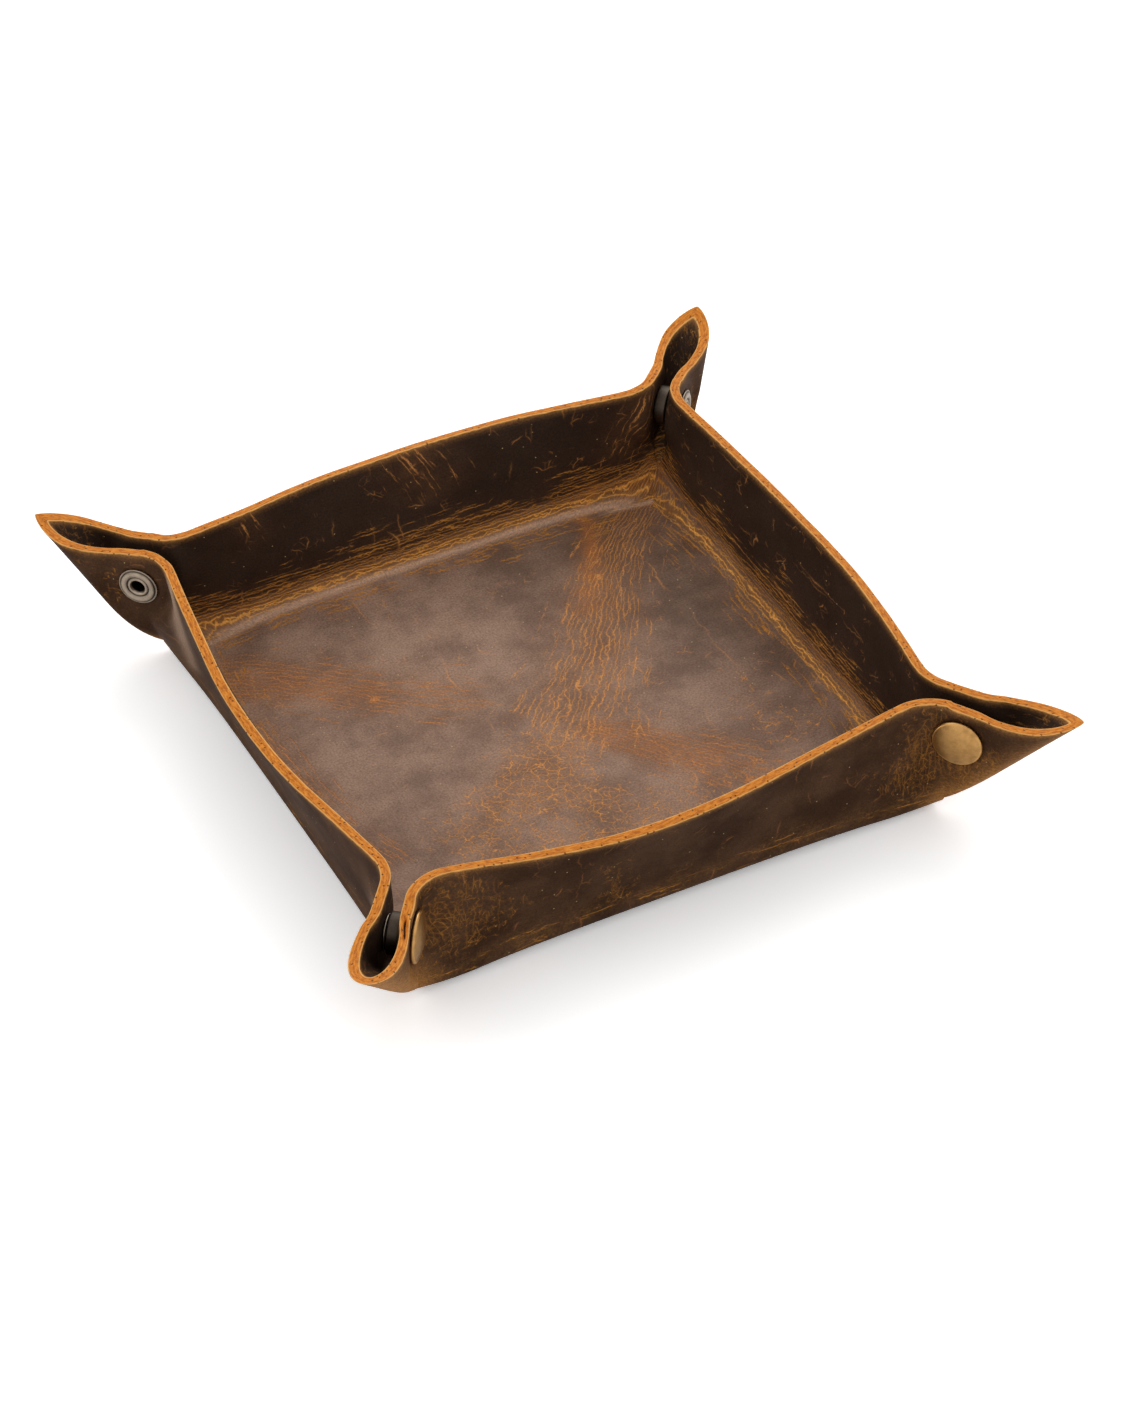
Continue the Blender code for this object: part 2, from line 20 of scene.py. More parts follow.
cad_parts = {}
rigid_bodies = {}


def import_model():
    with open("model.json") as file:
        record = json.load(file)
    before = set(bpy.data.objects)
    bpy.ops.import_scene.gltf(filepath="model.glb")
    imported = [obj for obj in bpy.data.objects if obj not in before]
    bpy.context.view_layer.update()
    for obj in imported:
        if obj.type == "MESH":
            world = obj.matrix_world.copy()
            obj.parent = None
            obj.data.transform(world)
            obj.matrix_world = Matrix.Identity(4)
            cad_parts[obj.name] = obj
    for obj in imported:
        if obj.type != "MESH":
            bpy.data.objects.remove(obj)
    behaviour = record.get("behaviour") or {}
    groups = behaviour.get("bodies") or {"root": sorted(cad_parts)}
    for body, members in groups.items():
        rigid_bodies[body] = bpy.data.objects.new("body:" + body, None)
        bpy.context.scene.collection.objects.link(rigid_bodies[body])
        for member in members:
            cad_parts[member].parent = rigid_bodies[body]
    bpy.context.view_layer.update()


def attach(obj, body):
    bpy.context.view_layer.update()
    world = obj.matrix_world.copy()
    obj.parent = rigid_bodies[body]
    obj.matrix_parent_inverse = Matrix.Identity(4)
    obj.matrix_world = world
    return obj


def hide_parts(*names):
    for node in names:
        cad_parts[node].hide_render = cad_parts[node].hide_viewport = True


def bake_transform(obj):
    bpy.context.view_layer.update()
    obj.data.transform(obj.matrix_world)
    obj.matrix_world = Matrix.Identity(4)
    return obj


LOG = logging.getLogger("tray")
Array = np.ndarray
Material = bpy.types.Material
Piece = bpy.types.Object
Node = bpy.types.Node
Socket = bpy.types.NodeSocket
Numbers = tuple[float, ...]
Pair = tuple[float, float]
Colour = tuple[float, float, float]
Feed = Union[float, Sequence[float], Socket]
CORNER_NAMES = ("front", "right", "back", "left")
CORNER_SIGNS = ((-1, -1), (1, -1), (1, 1), (-1, 1))
WALL_TURNS = ((1, 0), (0, 1), (-1, 0), (0, -1))
UP = np.array([0.0, 0.0, 1.0])
ROOT_BODY = "tray"
MILLIMETRES = 1000.0


def ease(share: Array) -> Array:
    """Return a share clipped to 0..1 and eased with level ends, 3s^2 - 2s^3."""
    share = np.clip(share, 0.0, 1.0)
    return share * share * (3 - 2 * share)


def hump(distance: Array, reach: Union[float, Array]) -> Array:
    """Return a bell curve, exp(-(distance / reach)^2)."""
    return np.exp(-(distance / reach) ** 2)


def fade(value: Array, start: float, stop: float) -> Array:
    """Return 0 up to start and 1 from stop on, eased between them."""
    return ease((value - start) / (stop - start))


def cell_corners(grid: Array) -> list[Array]:
    """Return the values of a grid at the four corners of each cell, in turn round it."""
    return [grid[:-1, :-1], grid[1:, :-1], grid[1:, 1:], grid[:-1, 1:]]


def quad_areas(corners: Array) -> Array:
    """Return each quad's normal, as long as twice its area, from its four corners."""
    return np.cross(corners[:, 2] - corners[:, 0], corners[:, 3] - corners[:, 1])


def ripple(place: Array, wavelength: float, seed: int, waves: int = 6) -> Array:
    """Return smooth random waves over a plane, the mean of a few sines of random heading.

    Args:
        place: Points on the plane, with the two coordinates in the last axis.
        wavelength: Mean length of a wave, in metres.
        seed: Number that fixes the headings and phases.
        waves: How many sines are summed.

    Returns:
        One height for each point, mostly between -1 and 1.
    """
    draw = np.random.default_rng(seed)
    heading = draw.uniform(0, 2 * math.pi, waves)
    phase = draw.uniform(0, 2 * math.pi, waves)
    number = 2 * math.pi / wavelength * draw.uniform(0.6, 1.6, waves)
    total = np.zeros(place.shape[:-1])
    for k in range(waves):
        run = place[..., 0] * math.cos(heading[k]) + place[..., 1] * math.sin(heading[k])
        total += np.sin(run * number[k] + phase[k])
    return total / math.sqrt(waves)


@dataclass(frozen=True)
class SheetSizes:
    """Sizes of the leather sheet and of its folds, as the solid model has them."""

    sheet_side: float = 0.205
    floor_side: float = 0.140
    thickness: float = 0.0024
    crease_radius: float = 0.0038
    corner_crease_radius: float = 0.0012
    fold_slope_deg: float = 47.6
    wall_bow: Numbers = (0.0049, 0.0042, 0.0072, 0.0076)
    wall_neck: Numbers = (-0.0040, 0.0001, 0.0002, 0.0010)
    wall_fullest: Numbers = (-0.0100, -0.0140, -0.0040, 0.0000)
    neck_radius: float = 0.0120
    ear_half_width: float = 0.0049
    ear_sag: float = 0.0012
    ear_widest_share: float = 0.60
    tip_thickness_share: float = 1.5
    neck_sway_reach: float = 0.0200
    full_gap_share: float = 0.52
    bow_fullness: float = 1.35
    rise_curve: float = 1.3
    tip_sharpness: Numbers = (1.05, 1.5, 1.5, 1.6)
    tip_lift: float = 5.0
    crease_tightening: float = 4.0
    leaf_gap: float = 0.0042
    stud_reach: float = 0.0030
    stud_height: float = 0.0232
    hole_radius: float = 0.0024
    flat_margin: float = 0.0014
    flat_fade: float = 0.0040
    crest_place: float = -0.0032
    crest_reach: float = 0.0012
    crest_height: float = 0.00045
    crest_shares: Numbers = (0.5, 0.4, 1.0, 0.5)
    crest_ripple: float = 0.3
    ripple_height: float = 0.00014
    ripple_length: float = 0.045
    rim_ripple: float = 0.00005
    rim_ripple_length: float = 0.016
    floor_ripple: float = 0.00012
    floor_ripple_length: float = 0.03
    held_share: float = 0.75
    edge_crown: float = 0.00035
    edge_squareness: float = 3.6
    foot_reach: float = 0.0170
    foot_lifts: Numbers = (0.0028, 0.0017, 0.0013, 0.0012)

    @property
    def half_floor(self) -> float:
        """Half the side of the floor, from crease to crease."""
        return self.floor_side / 2

    @property
    def flap(self) -> float:
        """Width of the band that is folded up on each side."""
        return (self.sheet_side - self.floor_side) / 2

    @property
    def leaf_place(self) -> float:
        """Distance of a leaf's middle from the middle of its ear."""
        return (self.leaf_gap + self.thickness) / 2

    @property
    def fold(self) -> Pair:
        """Where the fold of an ear ends, by its slope.

        Returns:
            How far out along one axis, and how high.
        """
        slope = math.radians(self.fold_slope_deg)
        spare = (2 - math.pi / 2) * self.corner_crease_radius
        length = self.flap + spare
        return length * math.cos(slope), length * math.sqrt(2) * math.sin(slope)


@dataclass(frozen=True)
class Fineness:
    """How finely the leather is divided."""

    crease: int = 8
    rise: int = 30
    bow: int = 92
    neck: int = 14
    leaf: int = 20
    tip: int = 16
    edge: int = 12

    @property
    def wall(self) -> int:
        """Number of spaces between the columns of one wall."""
        return self.bow + 2 * self.neck

    @property
    def ear(self) -> int:
        """Number of columns of one leaf of an ear."""
        return self.leaf + self.tip


class Skin:
    """One face of the leather: the outer one, or the inner one a thickness inside it."""

    def __init__(self, sizes: SheetSizes, outer: bool) -> None:
        """Work out where the face lies.

        Args:
            sizes: The sheet's sizes.
            outer: Whether this is the outer face.
        """
        self.sizes = sizes
        self.outer = outer
        self.offset = sizes.thickness / 2 if outer else -sizes.thickness / 2
        self.inset = 0.0 if outer else sizes.thickness
        self.half_floor = sizes.half_floor - self.inset
        self.crease = sizes.crease_radius + sizes.thickness - self.inset
        self.corner_crease = sizes.corner_crease_radius if outer else sizes.crease_radius
        self.tip_inset = self.inset * sizes.tip_thickness_share
        self.leaf = sizes.leaf_place + self.offset
        self.widest = sizes.ear_half_width + self.offset

    def crease_radius(self, foot: Array) -> Array:
        """Return the crease's radius at places on the foot line, tighter at the corners."""
        share = np.abs(foot / self.half_floor) ** self.sizes.crease_tightening
        return self.crease + (self.corner_crease - self.crease) * share


class Ear:
    """The frame of an ear: along it to its tip, across it, and up."""

    def __init__(self, sizes: SheetSizes, number: int) -> None:
        """Work out the frame.

        Args:
            sizes: The sheet's sizes.
            number: Number of the corner.
        """
        self.sizes = sizes
        self.number = number
        self.name = CORNER_NAMES[number]
        self.signs = np.array(CORNER_SIGNS[number], float)
        begins = sizes.wall_neck[number]
        ends = sizes.wall_neck[number - 1]
        lean = np.array([ends, begins] if number % 2 == 0 else [begins, ends])
        reach, self.tip_height = sizes.fold
        self.neck = np.append(self.signs * (sizes.half_floor + lean), 0.0)
        self.tip = np.append(self.signs * (sizes.half_floor + reach), 0.0)
        self.length = float(np.linalg.norm(self.tip - self.neck))
        self.along = (self.tip - self.neck) / self.length
        self.across = np.array([-self.along[1], self.along[0], 0.0])
        mean = (begins + ends) / 2 + sizes.thickness / 2
        self.neck_height = math.sqrt(sizes.flap ** 2 - mean ** 2)
        seat = self.signs * (sizes.half_floor + sizes.stud_reach / math.sqrt(2))
        self.stud_along = float((np.append(seat, 0.0) - self.neck) @ self.along)
        self.stud = self.neck + self.along * self.stud_along + UP * sizes.stud_height
        self.cap_side = 1 if number % 2 == 0 else -1

    def place(self, along: Array, across: Array, height: Array) -> Array:
        """Return points of the ear's frame in the tray's frame."""
        return (self.neck + self.along * along[..., None] + self.across * across[..., None]
                + UP * height[..., None])

    def foot(self, skin: Skin) -> Array:
        """Return the point that the ear's columns fan out from, on one skin."""
        return np.append(self.signs * skin.half_floor, skin.inset + skin.corner_crease)

    def reach(self, points: Array) -> Array:
        """Return the distance of points from the stud's axis."""
        along = (points - self.neck) @ self.along - self.stud_along
        return np.hypot(along, points[..., 2] - self.sizes.stud_height)

    def seat(self, points: Array, side: Array, skin: Skin) -> Array:
        """Press a leaf flat where the stud's pieces sit, and let it swell around them.

        Args:
            points: Points of the leaf.
            side: 1 or -1 for the leaf that each column belongs to.
            skin: The skin that they are on.

        Returns:
            The points, moved across the ear only.
        """
        sizes = self.sizes
        reach = self.reach(points)
        is_cap = side == self.cap_side
        radius = np.where(is_cap, CapShape.radius, EyeletShape.radius)
        across = (points - self.neck) @ self.across
        flat = CapShape.radius + sizes.flat_margin
        hold = 1 - fade(reach, flat, flat + sizes.flat_fade)
        shift = hold * (side * skin.leaf - across)
        if skin.outer:
            swell = ease((reach - radius) / Swell.rise) * (1 - ease((reach - radius) / Swell.fade))
            shift = shift + side * swell * np.where(is_cap, Swell.cap_height, Swell.eyelet_height)
        return points + self.across * shift[..., None]


@dataclass(frozen=True)
class Swell:
    """How the leather swells round a cap or an eyelet that is pressed into it."""

    rise: float = 0.0012
    fade: float = 0.0050
    cap_height: float = 0.0006
    eyelet_height: float = 0.0005


@dataclass(frozen=True)
class CapShape:
    """Sizes of the domed cap that the leather is pressed by."""

    radius: float = 0.00625
    rise: float = 0.0021
    bead: float = 0.0005


@dataclass(frozen=True)
class EyeletShape:
    """Sizes of the eyelet that the leather is pressed by."""

    radius: float = 0.0050
    rise: float = 0.0009
    mouth: float = 0.0020


@dataclass
class Patch:
    """A grid of shared points that becomes quads, with one finish.

    ids holds the number of each grid point in the sheet's list of points. rim holds
    each grid point's place on the cut edge, where the patch lies on it.
    """

    ids: Array
    finish: int = 0
    flip: bool = False
    rim: Optional[Array] = None
    keep: Optional[Array] = None

    def faces(self) -> tuple[Array, Array]:
        """Work out the patch's quads.

        Returns:
            Each quad's four point numbers, and their places on the cut edge.
        """
        rim = self.rim if self.rim is not None else np.zeros(self.ids.shape + (2,))
        turn = -1 if self.flip else 1
        quads = np.stack(cell_corners(self.ids)[::turn], -1)
        places = np.stack(cell_corners(rim)[::turn], -2)
        kept = np.ones(quads.shape[:2], bool) if self.keep is None else self.keep
        return quads[kept], places[kept]


class FoldedSheet:
    """The whole sheet as grids of shared points, before it is cut into pieces.

    Run w goes from the fold of ear w, along that ear's leaf, wall w and the next ear's
    leaf, to the fold of ear w + 1. Its columns stand on the edge of the flat floor.
    """

    def __init__(self, sizes: SheetSizes, steps: Fineness) -> None:
        """Work out every point of the sheet.

        Args:
            sizes: The sheet's sizes.
            steps: How finely it is divided.
        """
        self.sizes = sizes
        self.steps = steps
        self.ears = [Ear(sizes, number) for number in range(4)]
        self.skins = {outer: Skin(sizes, outer) for outer in (True, False)}
        self.runs: dict[tuple[bool, int], Array] = {}
        self.floors: dict[bool, Array] = {}
        self.holes: list[Array] = []
        self.rim_run: list[Array] = []
        self.number_points()
        self.points = np.zeros((self.count, 3))
        self.flat = np.zeros((self.count, 2))
        self.inside = np.zeros(self.count)
        self.split = np.zeros(self.count)
        self.place_runs()
        self.place_floors()
        self.round_feet()
        self.place_edges()
        self.punch_holes()
        self.normals = self.smooth_normals()

    def turn_to_wall(self, wall: int, points: Array) -> Array:
        """Turn points about the vertical axis, from wall 0's frame to another wall's.

        Args:
            wall: Number of the wall.
            points: Points with two or three coordinates in the last axis.

        Returns:
            The turned points.
        """
        cos, sin = WALL_TURNS[wall]
        turn = np.eye(points.shape[-1])
        turn[:2, :2] = [[cos, sin], [-sin, cos]]
        return points @ turn

    def wall_of(self, flat: Array) -> Array:
        """Return the number of the wall nearest to each place on the flat sheet."""
        far = np.abs(flat)
        return np.where(far[..., 1] > far[..., 0], np.where(flat[..., 1] > 0, 2, 0),
                        np.where(flat[..., 0] > 0, 1, 3))

    def bend_to_ear(self, wall: int, end: int) -> Pair:
        """Return where a rim leaves its line, and the angle that it turns into the ear.

        The rim's line and the leaf's line are joined by an arc that touches both.

        Args:
            wall: Number of the wall.
            end: -1 for its start or 1 for its end.

        Returns:
            The line's end along the wall, and the angle in radians.
        """
        sizes = self.sizes
        neck = sizes.wall_neck[wall]
        other = sizes.wall_neck[(wall + end) % 4]
        reach = sizes.fold[0]
        turn = math.atan2(reach - neck, reach - other)
        meeting = sizes.half_floor + other - sizes.leaf_place / math.sin(turn)
        return meeting - sizes.neck_radius * math.tan(turn / 2), turn

    def rim_of_wall(self, wall: int, skin: Skin) -> tuple[Array, ...]:
        """Return the rim of a wall: an arc, a bow and an arc.

        The bow stands out as (1 - s^2)^fullness, with s from -1 to 1 about its fullest
        place.

        Args:
            wall: Number of the wall.
            skin: The skin that the rim bounds.

        Returns:
            Arrays of the place along the wall, how far out, the share of the half
            foot line, and the nearest end, -1 or 1.
        """
        sizes, steps = self.sizes, self.steps
        neck, bow, fullest = (sizes.wall_neck[wall], sizes.wall_bow[wall], sizes.wall_fullest[wall])
        radius = sizes.neck_radius - skin.offset
        arcs = []
        for end in (-1, 1):
            line, turn = self.bend_to_ear(wall, end)
            angle = turn * np.arange(1, steps.neck + 1) / steps.neck
            foot = (line + sizes.neck_radius * angle) / (line + sizes.neck_radius * turn)
            arcs.append((end * (line + radius * np.sin(angle)),
                         neck + sizes.neck_radius - radius * np.cos(angle), end * foot,
                         np.full(steps.neck, end)))
        start, start_turn = self.bend_to_ear(wall, -1)
        stop, stop_turn = self.bend_to_ear(wall, 1)
        along = -start + (start + stop) * np.arange(steps.bow + 1) / steps.bow
        share = (along - fullest) / np.where(along > fullest, stop - fullest, start + fullest)
        full = np.clip(1 - share ** 2, 0, None) ** sizes.bow_fullness
        end = np.where(along > 0, 1, -1)
        whole = np.where(along > 0, stop + sizes.neck_radius * stop_turn,
                         start + sizes.neck_radius * start_turn)
        bowed = (along, neck + (bow - neck) * full + skin.offset, along / whole, end)
        before = [part[::-1] for part in arcs[0]]
        return tuple(np.concatenate(parts) for parts in zip(before, bowed, arcs[1]))

    def wall_grid(self, wall: int, skin: Skin) -> Array:
        """Return a wall's points: a quarter round crease, then a curve up to the rim.

        Args:
            wall: Number of the wall.
            skin: The skin that they are on.

        Returns:
            Points by column and row.
        """
        sizes, steps = self.sizes, self.steps
        along, out, share, end = self.rim_of_wall(wall, skin)
        foot = share * skin.half_floor
        radius = skin.crease_radius(foot)[:, None]
        angle = np.arange(steps.crease + 1)[None, :] / steps.crease * math.pi / 2
        inset = 1 - np.sin(angle)
        near = foot[:, None] * (1 - skin.corner_crease * inset / skin.half_floor)
        crease = np.stack([near, -sizes.half_floor + skin.inset + radius * inset,
                           skin.inset + radius * (1 - np.cos(angle))], -1)
        rise = (np.arange(1, steps.rise + 1) / steps.rise)[None, :]
        sway = ease(1 + (np.abs(foot) - skin.half_floor) / sizes.neck_sway_reach)[:, None]
        lean = out + sizes.thickness / 2 - skin.offset
        top = np.sqrt(sizes.flap ** 2 - lean ** 2) - skin.offset * lean / sizes.flap
        ears = (self.ears[wall], self.ears[(wall + 1) % 4])
        neck_height = np.where(end < 0, ears[0].neck_height, ears[1].neck_height)
        top = (top + (neck_height - top) * sway[:, 0])[:, None]
        curve = rise ** (1 + (sizes.rise_curve - 1) * (1 - sway))
        place = np.stack([foot[:, None] + (along - foot)[:, None] * rise,
                          -sizes.half_floor + skin.inset - (out + skin.inset)[:, None] * curve,
                          skin.inset + radius + (top - skin.inset - radius) * rise], -1)
        crease = self.turn_to_wall(wall, crease)
        place = self.turn_to_wall(wall, place)
        for ear, side, mine in ((ears[0], 1, end < 0), (ears[1], -1, end > 0)):
            apart = (ear.foot(skin) - ear.neck) @ ear.across
            opened = (self.gap_growth(rise) - rise) * (side * skin.leaf - apart)
            shift = (sway * opened)[mine]
            moved = place[mine] + ear.across * shift[..., None]
            place[mine] = ear.seat(moved, np.array(side), skin)
        return np.concatenate([crease, place], 1)

    def gap_growth(self, rise: Array) -> Array:
        """Return the share of the gap between two leaves that is open at a height."""
        return 1 - (1 - np.minimum(rise / self.sizes.full_gap_share, 1)) ** 2

    def ear_rim(self, ear: Ear, skin: Skin, side: int) -> tuple[Array, Array]:
        """Return the rim of one leaf, from the neck to the tip.

        It swells to its widest place, and from there closes as cos^sharpness of an
        angle whose sine is the share of the way to the tip.

        Args:
            ear: The ear.
            skin: The skin that the rim bounds.
            side: 1 or -1 for the leaf.

        Returns:
            Arrays of the place along the ear and the half width.
        """
        sizes, steps = self.sizes, self.steps
        wall, end = (ear.number, -1) if side > 0 else ((ear.number - 1) % 4, 1)
        turn = self.bend_to_ear(wall, end)[1]
        start = sizes.neck_radius * math.tan(turn / 2) - sizes.leaf_place / math.tan(turn)
        tip = ear.length - skin.tip_inset
        widest = start + (tip - start) * sizes.ear_widest_share
        share = np.arange(1, steps.leaf + 1) / steps.leaf
        angle = np.arange(1, steps.tip + 1) / steps.tip * math.pi / 2
        closing = np.clip(np.cos(angle), 0, None) ** sizes.tip_sharpness[ear.number]
        closing[-1] = 0.0
        along = np.concatenate([start + (widest - start) * share,
                                widest + (tip - widest) * np.sin(angle)])
        width = np.concatenate([skin.leaf + (skin.widest - skin.leaf) * ease(share),
                                skin.widest * closing])
        return along, width

    def leaf_grid(self, ear: Ear, skin: Skin, side: int) -> Array:
        """Return a leaf's points: straight fan lines from the foot, opening early.

        Args:
            ear: The ear.
            skin: The skin that they are on.
            side: 1 or -1 for the leaf.

        Returns:
            Points by column, from the neck to the tip, and row.
        """
        sizes, steps = self.sizes, self.steps
        along, width = (part[:, None] for part in self.ear_rim(ear, skin, side))
        foot = ear.foot(skin)
        along_foot = (foot - ear.neck) @ ear.along
        across_foot = (foot - ear.neck) @ ear.across
        share = np.clip(along / ear.length, 0, 1)
        lift = (ear.tip_height - ear.neck_height) * share ** sizes.tip_lift
        top = ear.neck_height - sizes.ear_sag * np.sin(math.pi * share) + lift
        rise = (np.arange(1, steps.rise + 1) / steps.rise)[None, :]
        opened = self.gap_growth(rise)
        straight = rise + (opened - rise) * np.minimum(width / skin.leaf, 1)
        points = ear.place(along_foot + (along - along_foot) * rise,
                           across_foot * (1 - straight) + side * width * opened,
                           foot[2] + (top - foot[2]) * rise)
        return ear.seat(points, np.array(side), skin)

    def run_grid(self, wall: int, skin: Skin) -> Array:
        """Join a run's wall and its two leaves.

        Args:
            wall: Number of the wall.
            skin: The skin that the points are on.

        Returns:
            Points by column and row.
        """
        own = self.wall_grid(wall, skin)
        base = self.steps.crease + 1
        before = self.leaf_grid(self.ears[wall], skin, 1)[::-1]
        after = self.leaf_grid(self.ears[(wall + 1) % 4], skin, -1)
        first = np.repeat(own[:1, :base], len(before), 0)
        last = np.repeat(own[-1:, :base], len(after), 0)
        return np.concatenate([np.concatenate([first, before], 1), own,
                               np.concatenate([last, after], 1)])

    def flat_grid(self, wall: int) -> Array:
        """Work out where a run's points lie on the flat sheet.

        Args:
            wall: Number of the wall.

        Returns:
            Places by column and row.
        """
        sizes, steps = self.sizes, self.steps
        share = self.rim_of_wall(wall, self.skins[True])[2]
        rise, leaf, bend = (np.arange(first, count + 1) / count for first, count in (
            (1, steps.rise), (1, steps.ear), (0, steps.crease)))
        radius = self.skins[True].crease_radius(share * self.skins[True].half_floor)
        far = sizes.half_floor + sizes.flap * leaf
        rim = np.concatenate([-far[::-1], share * sizes.half_floor, far])
        reach = np.concatenate([np.full(steps.ear, radius[0]), radius, np.full(steps.ear, radius[-1])])
        foot = np.clip(rim, -sizes.half_floor, sizes.half_floor)
        along = np.concatenate([np.repeat(foot[:, None], steps.crease + 1, 1),
                                foot[:, None] + (rim - foot)[:, None] * rise], 1)
        low = sizes.half_floor - reach[:, None] * (1 - bend)
        high = np.repeat((sizes.half_floor + sizes.flap * rise)[None, :], len(rim), 0)
        flat = np.stack([along, -np.concatenate([low, high], 1)], -1)
        return self.turn_to_wall(wall, flat)

    def number_points(self) -> None:
        """Number the points of every grid, so that neighbours share theirs."""
        steps = self.steps
        base = steps.crease + 1
        span = steps.wall + 1
        columns, rows = span + 2 * steps.ear, base + steps.rise
        count = 0
        for outer in (True, False):
            grids = count + np.arange(4 * columns * rows).reshape(4, columns, rows)
            count += grids.size
            for wall in range(4):
                grids[wall, steps.ear, :base] = grids[wall - 1, -1 - steps.ear, :base]
                grids[wall, 0, base:] = grids[wall - 1, -1, base:]
            grids[:, :steps.ear, :base] = grids[:, steps.ear, None, :base]
            grids[:, -steps.ear:, :base] = grids[:, -1 - steps.ear, None, :base]
            self.runs.update({(outer, wall): grids[wall] for wall in range(4)})
        for outer in (True, False):
            floor = count + np.arange(span * span).reshape(span, span)
            count += floor.size
            south, east, north, west = (self.runs[outer, wall][steps.ear:steps.ear + span, 0]
                                        for wall in range(4))
            floor[:, 0], floor[-1, :] = south, east
            floor[:, -1], floor[0, :] = north[::-1], west[::-1]
            self.floors[outer] = floor
        self.edges = count + np.arange(4 * columns * (steps.edge + 1)).reshape(4, columns, -1)
        self.count = count + self.edges.size
        for wall, edge in enumerate(self.edges):
            edge[:, 0] = self.runs[True, wall][:, -1]
            edge[:, -1] = self.runs[False, wall][:, -1]
        self.edges[:, 0, 1:-1] = np.roll(self.edges, 1, 0)[:, -1, 1:-1]
        self.through = np.full(self.count, -1)
        for wall in range(4):
            self.through[self.runs[True, wall]] = self.runs[False, wall]
        self.through[self.floors[True]] = self.floors[False]
        self.rim_point = np.full(self.count, -1)
        for edge in self.edges:
            self.rim_point[edge] = edge[:, :1]

    def place_runs(self) -> None:
        """Place the walls and the ears, gently uneven as hand folded leather is."""
        sizes = self.sizes
        for wall in range(4):
            flat = self.flat_grid(wall)
            outward = self.turn_to_wall(wall, np.array([0.0, -1.0, 0.0]))
            far = np.abs(flat)
            height = far.max(-1) - sizes.half_floor
            share = np.clip(height / sizes.flap, 0, 1)
            free = 1 - fade(far.min(-1) / sizes.half_floor, sizes.held_share, 1)
            wave = sizes.ripple_height * ripple(flat, sizes.ripple_length, 3) * ease(share) * free
            lift = sizes.rim_ripple * ripple(flat, sizes.rim_ripple_length, 8) * share ** 3
            crest = hump(height - sizes.crest_place, sizes.crest_reach) * sizes.crest_height
            uneven = 1 + sizes.crest_ripple * ripple(flat, sizes.floor_ripple_length, 12)
            crest *= sizes.crest_shares[wall] * free * uneven
            for outer in (True, False):
                ids = self.runs[outer, wall]
                points = self.run_grid(wall, self.skins[outer])
                points += outward * wave[..., None] + UP * lift[..., None]
                if not outer:
                    points += (UP - outward) / math.sqrt(2) * crest[..., None]
                self.points[ids] = points
                self.flat[ids] = flat
                self.inside[ids] = 0.0 if outer else 1.0

    def place_floors(self) -> None:
        """Fill the floor between its four edges, as a patch blended from all of them."""
        sizes = self.sizes
        span = np.linspace(0, 1, self.steps.wall + 1)
        u, v = span[:, None, None], span[None, :, None]
        for outer in (True, False):
            ids = self.floors[outer]
            for target in (self.points, self.flat):
                edge = target[ids]
                sides = ((1 - v) * edge[:, :1] + v * edge[:, -1:]
                         + (1 - u) * edge[:1, :] + u * edge[-1:, :])
                corners = ((1 - u) * (1 - v) * edge[0, 0] + u * (1 - v) * edge[-1, 0]
                           + (1 - u) * v * edge[0, -1] + u * v * edge[-1, -1])
                target[ids[1:-1, 1:-1]] = (sides - corners)[1:-1, 1:-1]
            self.inside[ids] = 0.0 if outer else 1.0
        inner = self.floors[False][1:-1, 1:-1]
        flat = self.flat[inner]
        edge = sizes.half_floor - np.max(np.abs(flat), -1)
        calm = fade(edge, sizes.crease_radius, 5 * sizes.crease_radius)
        self.points[inner, 2] += sizes.floor_ripple * ripple(flat, sizes.floor_ripple_length, 5) * calm

    def place_edges(self) -> None:
        """Place the cut edge: a low crown between the skins, with rounded borders.

        Across the thickness the crown is (1 - |x|^p)^(1/p) for x from -1 to 1.
        """
        power = self.sizes.edge_squareness
        x = -np.cos(np.linspace(0, math.pi, self.steps.edge + 1))
        crown = self.sizes.edge_crown * (1 - np.abs(x) ** power) ** (1 / power)
        share = ((x + 1) / 2)[None, :, None]
        split = EdgeSplit()
        for wall, ids in enumerate(self.edges):
            outer, inner = (self.points[self.runs[side, wall][:, -1]] for side in (True, False))
            length = np.linalg.norm(np.diff((outer + inner) / 2, axis=0), axis=1)
            run = np.concatenate([[0.0], np.cumsum(length)])
            self.rim_run.append(run)
            up = outer - self.points[self.runs[True, wall][:, -2]]
            up /= np.linalg.norm(up, axis=1)[:, None]
            depth = split.depth(run, x) if wall == split.wall else np.zeros((len(run), len(x)))
            points = outer[:, None] * (1 - share) + inner[:, None] * share
            points += up[:, None] * (crown[None, :] - depth)[..., None]
            self.points[ids[:, 1:-1]] = points[:, 1:-1]
            self.flat[ids[:, 1:-1]] = self.flat[self.runs[True, wall][:, -1]][:, None]
            self.inside[ids[:, 1:-1]] = share[0, 1:-1, 0]
            # The split's depth as a share, which the edge's finish uses for painted shade.
            self.split[ids] = depth / split.deepest

    def round_feet(self) -> None:
        """Lift each corner of the floor off the table, where its ear's ridge runs into it.

        A point moves up by lift (1 - r / reach)^2, with r its distance from the corner on
        the flat sheet, which makes a round of the bend.
        """
        for ear, lift in zip(self.ears, self.sizes.foot_lifts):
            way = np.linalg.norm(self.flat - ear.signs * self.sizes.half_floor, axis=1)
            self.points[:, 2] += lift * np.clip(1 - way / self.sizes.foot_reach, 0, 1) ** 2

